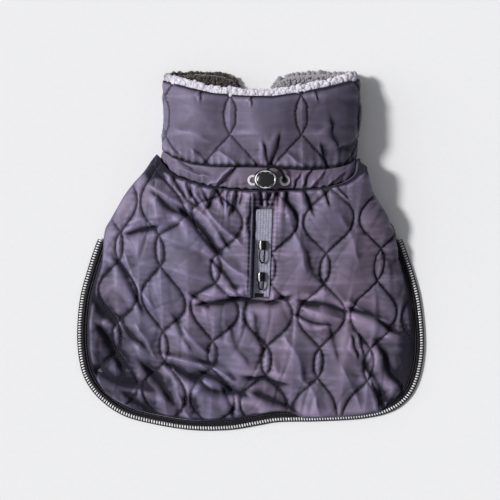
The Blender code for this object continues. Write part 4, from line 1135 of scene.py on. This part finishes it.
# ---------------------------------------------------------------- zip
def laid(name, top, foot, profile, height, look, rows, clear, thick):
    """A strip lying down the back; profile gives x from its middle and rise over its base, and
    clear is the room left under it."""
    across = np.array(profile)
    spots = np.linspace(top, foot, rows)
    lower = np.array([[(x + dx, y, (height(x + dx, y) or (0, 0))[0]) for dx, _ in across]
                      for x, y in spots])
    middle = lower[..., 2].max(axis=1)
    smooth = np.convolve(np.pad(middle, 3, mode="edge"), np.ones(7) / 7, "valid")
    lower[..., 2] = np.maximum(lower[..., 2] * 0.3 + smooth[:, None] * 0.7, 0) + clear
    upper = lower.copy()
    upper[..., 2] += thick + across[:, 1][None]
    return cloth(name, upper, lower, flat_sizes(upper, len(across) // 2), look)


def zip_cloth(cover):
    """The ribbed zip tape and the narrow fold beside it."""
    height = surface(cover)
    x = np.linspace(-ZIP_WIDE / 2, ZIP_WIDE / 2, 61)
    ribs = 0.28 * np.abs(np.sin(x / ZIP_WIDE * math.pi * ZIP_RIBS)) ** 0.7
    edge = np.clip((ZIP_WIDE / 2 - np.abs(x)) / 0.8, 0, 1)
    profile = np.column_stack([x, (ribs + 0.1) * edge])
    ribbed = laid("zip_tape_ribbed", ZIP_TOP, ZIP_FOOT, profile, height, zip_webbing(), rows=90,
                  clear=0.35, thick=ZIP_THICK * 0.6)
    fold = np.linspace(-WELT_WIDE / 2, WELT_WIDE / 2, 13)
    lip = 1.1 * np.sqrt(np.maximum(1 - (fold / WELT_WIDE * 2) ** 2, 0))
    welt = laid("zip_welt_fold", WELT_TOP, WELT_FOOT, np.column_stack([fold, lip]), height,
                satin_painted_shade(), rows=120, clear=0.1, thick=1.2)
    return ribbed, welt


# ---------------------------------------------------------------- hardware
def fresh():
    """Leaves edit mode and deselects everything."""
    if bpy.context.object and bpy.context.object.mode == "EDIT":
        bpy.ops.object.mode_set(mode="OBJECT")
    bpy.ops.object.select_all(action="DESELECT")


def finished(name, look):
    """Names the active object, applies its place and shades it smooth."""
    made = bpy.context.object
    made.name = made.data.name = name
    bpy.ops.object.transform_apply(location=True, rotation=True, scale=True)
    bpy.ops.object.shade_smooth_by_angle(angle=math.radians(40))
    made.data.materials.clear()
    made.data.materials.append(look)
    made.select_set(False)
    return made


def pick_faces(thing, wanted):
    """Selects in edit mode the faces whose middle passes the test."""
    bpy.ops.object.mode_set(mode="EDIT")
    bpy.ops.mesh.select_mode(type="FACE")
    bpy.ops.mesh.select_all(action="DESELECT")
    shape = bmesh.from_edit_mesh(thing.data)
    for face in shape.faces:
        if wanted(face.calc_center_median()):
            face.select_set(True)
    bmesh.update_edit_mesh(thing.data)


def cord_lock():
    """The lock's oval shell: a squared ball with a dished top and a raised button in it."""
    fresh()
    wide, long, high = (size / 2 * MM for size in LOCK_SIZE)
    bpy.ops.mesh.primitive_uv_sphere_add(segments=64, ring_count=32, radius=1)
    shell = bpy.context.object
    for point in shell.data.vertices:
        squared = [math.copysign(abs(c) ** 0.82, c) for c in point.co]
        point.co = (squared[0] * wide, squared[1] * long, squared[2] * high)
    pick_faces(shell, lambda c: c.z > 0.5 * high
               and (c.x / wide) ** 2 + (c.y / long) ** 2 < LOCK_DISH)
    for inwards, upwards in LOCK_STEPS:
        bpy.ops.mesh.inset(thickness=inwards)
        bpy.ops.transform.translate(value=(0, 0, upwards))
    bpy.ops.object.mode_set(mode="OBJECT")
    shell.location = Vector(LOCK_AT) * MM
    made = finished("cord_lock_shell", black_plastic())
    face_out(made)
    return made


def lock_painted_highlight():
    """The bright oval rim let into the lock's top: a painted highlight of the glossy top's shine.
    """
    fresh()
    bpy.ops.mesh.primitive_torus_add(major_radius=RING_RADIUS, minor_radius=RING_WIRE,
                                     major_segments=72, minor_segments=10)
    bpy.ops.object.mode_set(mode="EDIT")
    bpy.ops.mesh.select_all(action="SELECT")
    bpy.ops.transform.resize(value=RING_STRETCH)
    bpy.ops.object.mode_set(mode="OBJECT")
    bpy.context.object.location = Vector((LOCK_AT[0], LOCK_AT[1], LOCK_AT[2] + RING_UP)) * MM
    return finished("cord_lock_painted_highlight", metal_painted_reflection())


def on_zip(pin, lean):
    """A slider's frame: the origin on its pull's pin, tilted with the cloth."""
    return Matrix.Translation(Vector(pin) * MM) @ Matrix.Rotation(lean, 4, "X")


def pull_loop(name, pin, lean, long):
    """A zip pull: a ring of wire drawn long and narrow at its pin, thicker at its foot."""
    fresh()
    bpy.ops.mesh.primitive_torus_add(major_radius=1.0, minor_radius=0.2, major_segments=56,
                                     minor_segments=12)
    loop = bpy.context.object
    middle, reach = -long / 2 + 0.6, long / 2 - 0.7
    for point in loop.data.vertices:
        around = math.atan2(point.co.y, point.co.x)
        out, up = math.hypot(point.co.x, point.co.y) - 1, point.co.z
        foot = (1 - math.sin(around)) / 2
        half = LOOP_HALF[0] + LOOP_HALF[1] * foot ** 0.8
        thick = LOOP_THICK[0] + LOOP_THICK[1] * max(foot - 0.7, 0) / 0.3
        point.co = (half * math.cos(around) + thick * out * math.cos(around),
                    middle + reach * math.sin(around) + thick * out * math.sin(around),
                    0.85 * thick * up)
        point.co *= MM
    loop.data.transform(on_zip(pin, lean + TAB_DROOP))
    return finished("zip_pull_%s_loop" % name, black_enamel())


def slider_painted_highlight(name, pin, lean):
    """A bright rod over a slider's pin: a painted highlight on the slider."""
    fresh()
    bpy.ops.mesh.primitive_uv_sphere_add(segments=24, ring_count=14, radius=1)
    highlight_rod = bpy.context.object
    highlight_rod.data.transform(on_zip(pin, lean) @ Matrix.Translation(BRIDGE_AT)
                          @ Matrix.Diagonal((*BRIDGE_HALF, 1)))
    return finished("zip_slider_%s_bridge" % name, metal_painted_reflection())


# ---------------------------------------------------------------- materials
def shader(name, rough, metal=0.0, **flat):
    """A new material, its node tree and its main shader."""
    made = bpy.data.materials.new(name)
    made.use_nodes = True
    main = made.node_tree.nodes["Principled BSDF"]
    main.inputs["Roughness"].default_value = rough
    main.inputs["Metallic"].default_value = metal
    for key, value in flat.items():
        main.inputs[key.replace("_", " ")].default_value = value
    return made, made.node_tree, main


def node(tree, kind, **values):
    """A new node with these settings and plain input values."""
    made = tree.nodes.new(kind)
    for key, value in values.items():
        if hasattr(made, key):
            setattr(made, key, value)
        else:
            made.inputs[key.replace("_", " ")].default_value = value
    return made


def coordinates(tree, socket="Object"):
    """The piece's own coordinates, or with UV its flat sizes."""
    return node(tree, "ShaderNodeTexCoord").outputs[socket]


def speckle(tree, where, scale, detail, rough=0.5):
    """Noise over these coordinates."""
    made = node(tree, "ShaderNodeTexNoise", Scale=scale, Detail=detail, Roughness=rough)
    tree.links.new(where, made.inputs["Vector"])
    return made.outputs["Fac"]


def bands(tree, where, way, scale, wander=0.0):
    """Even bands over these coordinates, square to one axis."""
    made = node(tree, "ShaderNodeTexWave", wave_type="BANDS", bands_direction=way, Scale=scale,
                Distortion=wander)
    tree.links.new(where, made.inputs["Vector"])
    return made.outputs["Fac"]


def axis(tree, where, name):
    """One of X, Y and Z of these coordinates."""
    parts = node(tree, "ShaderNodeSeparateXYZ")
    tree.links.new(where, parts.inputs["Vector"])
    return parts.outputs[name]


def ranged(tree, value, start, stop, low=0.0, high=1.0):
    """A value brought from start and stop to low and high, and held between them."""
    made = node(tree, "ShaderNodeMapRange", From_Min=start, From_Max=stop, To_Min=low,
                To_Max=high)
    tree.links.new(value, made.inputs["Value"])
    return made.outputs["Result"]


def joined(tree, operation, first, second):
    """Two values put together by one operation."""
    made = node(tree, "ShaderNodeMath", operation=operation)
    tree.links.new(first, made.inputs[0])
    tree.links.new(second, made.inputs[1])
    return made.outputs["Value"]


def mixed(tree, factor, first, second, **how):
    """Two colours mixed; each of the three is a socket, or a plain value."""
    made = node(tree, "ShaderNodeMix", data_type="RGBA", **how)
    for key, given in (("Factor", factor), ("A", first), ("B", second)):
        if isinstance(given, bpy.types.NodeSocket):
            tree.links.new(given, made.inputs[key])
        else:
            made.inputs[key].default_value = given
    return made.outputs["Result"]


def ramp(tree, value, *stops):
    """A colour for each value, from pairs of a value and a colour."""
    made = node(tree, "ShaderNodeValToRGB")
    ends = made.color_ramp.elements
    for end, (place, colour) in ((ends[0], stops[0]), (ends[1], stops[-1])):
        end.position, end.color = place, (*colour, 1)
    for place, colour in stops[1:-1]:
        ends.new(place).color = (*colour, 1)
    tree.links.new(value, made.inputs["Fac"])
    return made.outputs["Color"]


def two_tone(tree, main, value, dark, light, low=0.3, high=0.7):
    """Gives the main shader a colour between dark and light."""
    tree.links.new(ramp(tree, value, (low, dark), (high, light)), main.inputs["Base Color"])


def bumped(tree, main, *sources):
    """Bump from several heights: pairs of a socket and a distance in metres."""
    last = None
    for socket, distance in sources:
        bump = node(tree, "ShaderNodeBump", Strength=1.0, Distance=distance)
        tree.links.new(socket, bump.inputs["Height"])
        if last:
            tree.links.new(last, bump.inputs["Normal"])
        last = bump.outputs["Normal"]
    tree.links.new(last, main.inputs["Normal"])


def scaled(colour, share):
    """A colour made lighter or darker."""
    return tuple(share * part for part in colour)


def once(make):
    """Makes a material the first time it is asked for, and gives the same one after that."""
    store = {}

    def get():
        made = store.get("made")
        if made is None or made.name not in bpy.data.materials:
            store["made"] = made = make()
        return made
    return get


def satin_cloth(name, light, dark, rough):
    """Woven satin: its dye varies at random; towards the left a painted cool reflection moves it
    to the darker colour; painted shade darkens it in hollows, where it is also duller, and a
    painted highlight lightens it on crests.
    """
    made, tree, main = shader(name, rough, Specular_IOR_Level=0.55, Sheen_Weight=0.2,
                              Sheen_Roughness=0.5, Sheen_Tint=(0.66, 0.66, 1.0, 1),
                              Specular_Tint=(0.74, 0.74, 1.0, 1))
    space, weave = coordinates(tree), coordinates(tree, "UV")
    # Painted cool reflection: towards the left the colour moves to the cooler, darker one
    painted_reflection_left = ranged(tree, axis(tree, space, "X"), -0.17, -0.06, -0.17, 0.0)
    dye = ramp(tree, joined(tree, "ADD", speckle(tree, space, 14.0, 2.0), painted_reflection_left),
               (0.3, dark), (0.7, light))
    # Painted shading: painted shade in hollows and painted highlight on crests, by each point's
    # level
    painted_shading_level = node(tree, "ShaderNodeAttribute", attribute_name="painted_shading_level").outputs["Fac"]
    painted_shading = ramp(tree, painted_shading_level, (0.12, (2.0, 1.97, 2.1)), (0.5, (1.0, 1.0, 1.0)),
                 (0.92, (0.05, 0.038, 0.045)))
    tree.links.new(mixed(tree, 1.0, dye, painted_shading, blend_type="MULTIPLY"), main.inputs["Base Color"])
    grain = speckle(tree, space, 260.0, 4.0, 0.6)
    bumped(tree, main, (bands(tree, weave, "X", 420.0), 0.00003),
           (bands(tree, weave, "Y", 420.0), 0.00003), (grain, 0.00025))
    rub = ranged(tree, grain, 0.0, 1.0, rough - 0.07, rough + 0.1)
    dull = ranged(tree, painted_shading_level, 0.4, 0.85, 0.0, 0.4)
    tree.links.new(joined(tree, "ADD", rub, dull), main.inputs["Roughness"])
    return made


@once
def satin():
    """The cover's satin, on the back and the neck band."""
    user = settings()
    return satin_cloth("satin_cover", tuple(user.cover), tuple(user.cover_shade), 0.52)


@once
def satin_collar_painted_reflection():
    """The same satin on the collar, a little cooler: the cooler colour is a painted reflection."""
    light, dark = np.array(settings().cover), np.array(settings().cover_shade)
    return satin_cloth("satin_collar_painted_reflection", tuple((0.45 * light + 0.55 * dark).tolist()),
                       tuple(dark.tolist()), 0.5)


@once
def satin_painted_shade():
    """The darker satin of the chest wings and of the fold beside the zip: the same satin, its
    darkness painted shade.
    """
    user = settings()
    return satin_cloth("satin_chest_painted_shade", scaled(user.cover, 0.4), scaled(user.cover_shade, 0.4), 0.7)


@once
def thread():
    """Quilting and edge thread."""
    made, tree, main = shader("quilting_thread", 0.6, Sheen_Weight=0.2)
    two_tone(tree, main, speckle(tree, coordinates(tree), 900.0, 2.0), (0.022, 0.018, 0.026),
             (0.048, 0.040, 0.056))
    return made


@once
def pile():
    """Curled fleece: pale, with painted shadow low in the throat, more so on its left."""
    user = settings()
    made, tree, main = shader("curled_fleece", 0.95, Specular_IOR_Level=0.2, Sheen_Weight=0.6,
                              Sheen_Roughness=0.5)
    space = coordinates(tree)
    curl, broad = speckle(tree, space, 520.0, 5.0, 0.7), speckle(tree, space, 60.0, 2.0)
    tone = mixed(tree, curl, (*scaled(user.fleece, 0.62), 1), (*user.fleece, 1))
    # Painted shadow: deeper in the throat and more on the left, mixed towards the shadow colour
    inside = ranged(tree, axis(tree, space, "Z"), 0.030, 0.016)
    left = ranged(tree, axis(tree, space, "X"), 0.012, -0.012, 0.62)
    painted_shadow = mixed(tree, joined(tree, "MULTIPLY", inside, left), tone, (*user.fleece_painted_shadow, 1))
    tree.links.new(painted_shadow, main.inputs["Base Color"])
    bumped(tree, main, (curl, 0.0012), (broad, 0.0006))
    return made


@once
def tape():
    """The ribbed tape of the bindings and the piping."""
    user = settings()
    made, tree, main = shader("edge_tape", 0.85, Specular_IOR_Level=0.2)
    rib = bands(tree, coordinates(tree, "UV"), "X", 300.0, 1.0)
    lint = speckle(tree, coordinates(tree), 320.0, 4.0)
    two_tone(tree, main, lint, tuple(user.tape), scaled(user.tape, 2.0), 0.35, 0.8)
    bumped(tree, main, (rib, 0.0001), (lint, 0.0005))
    return made


@once
def coil():
    """The pale plastic of the edge coil."""
    user = settings()
    made, tree, main = shader("edge_coil", 0.42, Coat_Weight=0.2)
    wear = speckle(tree, coordinates(tree), 240.0, 3.0)
    two_tone(tree, main, wear, scaled(user.coil, 0.6), tuple(user.coil), 0.3, 0.6)
    bumped(tree, main, (wear, 0.0002))
    return made


@once
def zip_webbing():
    """The ribbed zip tape."""
    user = settings()
    made, tree, main = shader("zip_webbing", 0.6, Sheen_Weight=0.2)
    rib = bands(tree, coordinates(tree, "UV"), "Y", 190.0)
    lint = speckle(tree, coordinates(tree), 300.0, 4.0)
    two_tone(tree, main, lint, scaled(user.zip_tape, 0.7), tuple(user.zip_tape))
    bumped(tree, main, (rib, 0.0002), (lint, 0.0004))
    return made


def hard(name, colour, rough, metal, scratch):
    """A hard, shiny surface with fine marks that are duller than the rest."""
    made, tree, main = shader(name, rough, metal, Coat_Weight=0.0 if metal else 0.5)
    marks = speckle(tree, coordinates(tree), 170.0, 6.0, 0.7)
    two_tone(tree, main, marks, scaled(colour, 0.7), colour)
    tree.links.new(ranged(tree, marks, 0.0, 1.0, rough, rough + 0.16), main.inputs["Roughness"])
    bumped(tree, main, (marks, scratch))
    return made


@once
def black_plastic():
    """The cord lock and its plunger."""
    return hard("black_plastic", (0.012, 0.011, 0.013), 0.14, 0.0, 0.00004)


@once
def black_enamel():
    """The zip's sliders, pulls and stop."""
    return hard("black_enamel", (0.02, 0.019, 0.022), 0.22, 0.6, 0.00005)


@once
def metal_painted_reflection():
    """The eyelets, the lock's ring and the sliders' rods: near white and only partly metallic, so
    their brightness is painted reflection; the ring and the rods are painted highlights.
    """
    return hard("metal_painted_reflection", (1.0, 0.99, 1.0), 0.25, 0.35, 0.00003)


@once
def closure_loops():
    """The hook patch and the loop patch."""
    made, tree, main = shader("closure_loops", 0.95, Sheen_Weight=0.5)
    loops = node(tree, "ShaderNodeTexVoronoi", Scale=900.0)
    tree.links.new(coordinates(tree), loops.inputs["Vector"])
    two_tone(tree, main, loops.outputs["Distance"], (0.008, 0.008, 0.009),
             (0.035, 0.033, 0.037))
    bumped(tree, main, (loops.outputs["Distance"], 0.0004))
    return made


@once
def braid():
    """The drawcord."""
    made, tree, main = shader("drawcord_braid", 0.8, Specular_IOR_Level=0.2)
    twist = bands(tree, coordinates(tree), "DIAGONAL", 500.0, 0.6)
    two_tone(tree, main, twist, (0.004, 0.004, 0.005), (0.018, 0.016, 0.020))
    bumped(tree, main, (twist, 0.0004))
    return made


@once
def studio_paper():
    """The floor."""
    made, tree, main = shader("studio_paper", 0.9, Specular_IOR_Level=0.1)
    two_tone(tree, main, speckle(tree, coordinates(tree), 260.0, 2.0), (0.835, 0.835, 0.838),
             (0.85, 0.85, 0.853))
    return made


# ---------------------------------------------------------------- operators
def dress(names, look):
    """Gives CAD nodes a material."""
    for name in names:
        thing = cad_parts[name]
        thing.data.materials.clear()
        thing.data.materials.append(look)


class COAT_OT_back(bpy.types.Operator):
    """The quilted back with its stitching and the zip's cloth"""
    bl_idname, bl_label = "coat.back", "Back"

    def execute(self, context):
        cover = back_cloth()
        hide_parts("back_panel")
        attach(cover, "coat")
        seams = back_stitching(cover)
        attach(seams, "coat")
        ribbed, welt = zip_cloth(cover)
        for piece, old, slot in ((ribbed, "zip_tape", "zip_tape"), (welt, "zip_welt", "nylon")):
            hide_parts(old)
            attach(piece, "coat")
        return {"FINISHED"}


class COAT_OT_collar(bpy.types.Operator):
    """The quilted collar, its gathered band and its curled fleece"""
    bl_idname, bl_label = "coat.collar", "Collar"

    def execute(self, context):
        shell = collar_cloth()
        seams = collar_stitching(shell)
        band, fleece = band_cloth(), lining_cloth()
        for piece, old, slot, flat in (
                (shell, "collar_shell", "nylon", (0.435, 0.072)),
                (band, "neck_band", "nylon", (0.435, 0.021)),
                (fleece, "collar_lining", "fleece", (0.415, 0.079))):
            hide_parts(old)
            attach(piece, "coat")
        for piece in [seams] + fleece_curls():
            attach(piece, "coat")
        return {"FINISHED"}


class COAT_OT_chest(bpy.types.Operator):
    """The chest wings, their bindings and the closure patches"""
    bl_idname, bl_label = "coat.chest", "Chest wings"

    def execute(self, context):
        for side, lower, end, flat, area in (
                ("left", LEFT_WING_EDGE, LEFT_WING_END, (0.175, 0.098), 0.0125),
                ("right", RIGHT_WING_EDGE, RIGHT_WING_END, (0.175, 0.098), 0.0125)):
            panel, trim = wing(side, lower, end)
            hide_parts("chest_wing_" + side)
            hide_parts("wing_binding_" + side)
            for piece, slot in ((panel, "nylon_under"), (trim, "tape")):
                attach(piece, "coat")
        dress(("hook_patch", "loop_patch"), closure_loops())
        return {"FINISHED"}


class COAT_OT_edge(bpy.types.Operator):
    """The bound edge, its coil and its stitching"""
    bl_idname, bl_label = "coat.edge", "Edge"

    def execute(self, context):
        piping, binding, turns, seams = edge_trims()
        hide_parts("edge_piping")
        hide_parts("edge_binding")
        for piece, slot in ((piping, "tape"), (binding, "tape"), (turns, "ladder"),
                            (seams, "tape")):
            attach(piece, "coat")
        return {"FINISHED"}


class COAT_OT_hardware(bpy.types.Operator):
    """The zip's sliders and pulls, the cord lock, its cord and the eyelets"""
    bl_idname, bl_label = "coat.hardware", "Hardware"

    def execute(self, context):
        dress(("zip_slider_upper", "zip_slider_lower", "zip_stop"), black_enamel())
        dress(("cord_lock_plunger",), black_plastic())
        dress(("eyelet_left", "eyelet_right"), metal_painted_reflection())
        dress(("drawcord_right",), braid())
        for name, pin, lean, long in PULLS:
            # Each slider gets a bright rod over its pin, a painted highlight
            loop, slider_highlight = pull_loop(name, pin, lean, long), slider_painted_highlight(name, pin, lean)
            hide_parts("zip_pull_" + name)
            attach(loop, "pull_" + name)
            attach(slider_highlight, "coat")
        # The lock's bright ring is a painted highlight on its glossy top
        lock, ring = cord_lock(), lock_painted_highlight()
        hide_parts("cord_lock_body")
        for piece, slot in ((lock, "black"), (ring, "metal")):
            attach(piece, "coat")
        return {"FINISHED"}


class COAT_OT_stage(bpy.types.Operator):
    """A plain pale floor, soft light from the left and the camera straight above"""
    bl_idname, bl_label = "coat.stage", "Stage"

    def execute(self, context):
        scene = context.scene
        paper = bpy.data.meshes.new("floor")
        paper.from_pydata([(x * PAPER_HALF, y * PAPER_HALF, PAPER_LOW)
                           for x, y in ((-1, -1), (1, -1), (1, 1), (-1, 1))], [], [(0, 1, 2, 3)])
        ground = linked("floor", paper, studio_paper())
        for name, strength, spread, way in SUNS:
            lamp = bpy.data.lights.new(name, "SUN")
            lamp.energy, lamp.angle = strength, math.radians(spread)
            sun = bpy.data.objects.new(name, lamp)
            sun.rotation_mode = "QUATERNION"
            sun.rotation_quaternion = Vector(way).to_track_quat("-Z", "Y")
            scene.collection.objects.link(sun)
        world = bpy.data.worlds.new("studio")
        world.use_nodes = True
        sky = world.node_tree.nodes["Background"]
        sky.inputs["Color"].default_value = SKY
        sky.inputs["Strength"].default_value = SKY_STRENGTH
        scene.world = world
        scene.view_settings.view_transform = "Standard"
        lens = bpy.data.cameras.new("camera")
        lens.sensor_width, lens.lens, lens.clip_start = CAMERA_SENSOR, CAMERA_LENS, CAMERA_NEAR
        eye = bpy.data.objects.new("camera", lens)
        eye.location = CAMERA_AT
        scene.collection.objects.link(eye)
        scene.camera = eye
        return {"FINISHED"}


class COAT_PT_panel(bpy.types.Panel):
    """The coat's settings and the buttons that make its pieces"""
    bl_idname, bl_label = "COAT_PT_panel", "Dog Coat"
    bl_space_type, bl_region_type, bl_category = "VIEW_3D", "UI", "Dog Coat"

    def draw(self, context):
        layout = self.layout
        user = context.scene.coat_settings
        for name in CoatSettings.__annotations__:
            layout.prop(user, name)
        for maker in OPERATORS:
            layout.operator(maker.bl_idname)


OPERATORS = (COAT_OT_stage, COAT_OT_back, COAT_OT_collar, COAT_OT_chest, COAT_OT_edge,
             COAT_OT_hardware)
CLASSES = (CoatSettings,) + OPERATORS + (COAT_PT_panel,)


def register():
    """Registers the settings, the operators and the panel."""
    for made in CLASSES:
        bpy.utils.register_class(made)
    bpy.types.Scene.coat_settings = bpy.props.PointerProperty(type=CoatSettings)


def unregister():
    """Takes them away again."""
    del bpy.types.Scene.coat_settings
    for made in reversed(CLASSES):
        bpy.utils.unregister_class(made)


def main():
    """Makes every piece and the stage."""
    register()
    for maker in OPERATORS:
        group, name = maker.bl_idname.split(".")
        getattr(getattr(bpy.ops, group), name)()
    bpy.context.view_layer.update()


if __name__ == "__main__":
    main()
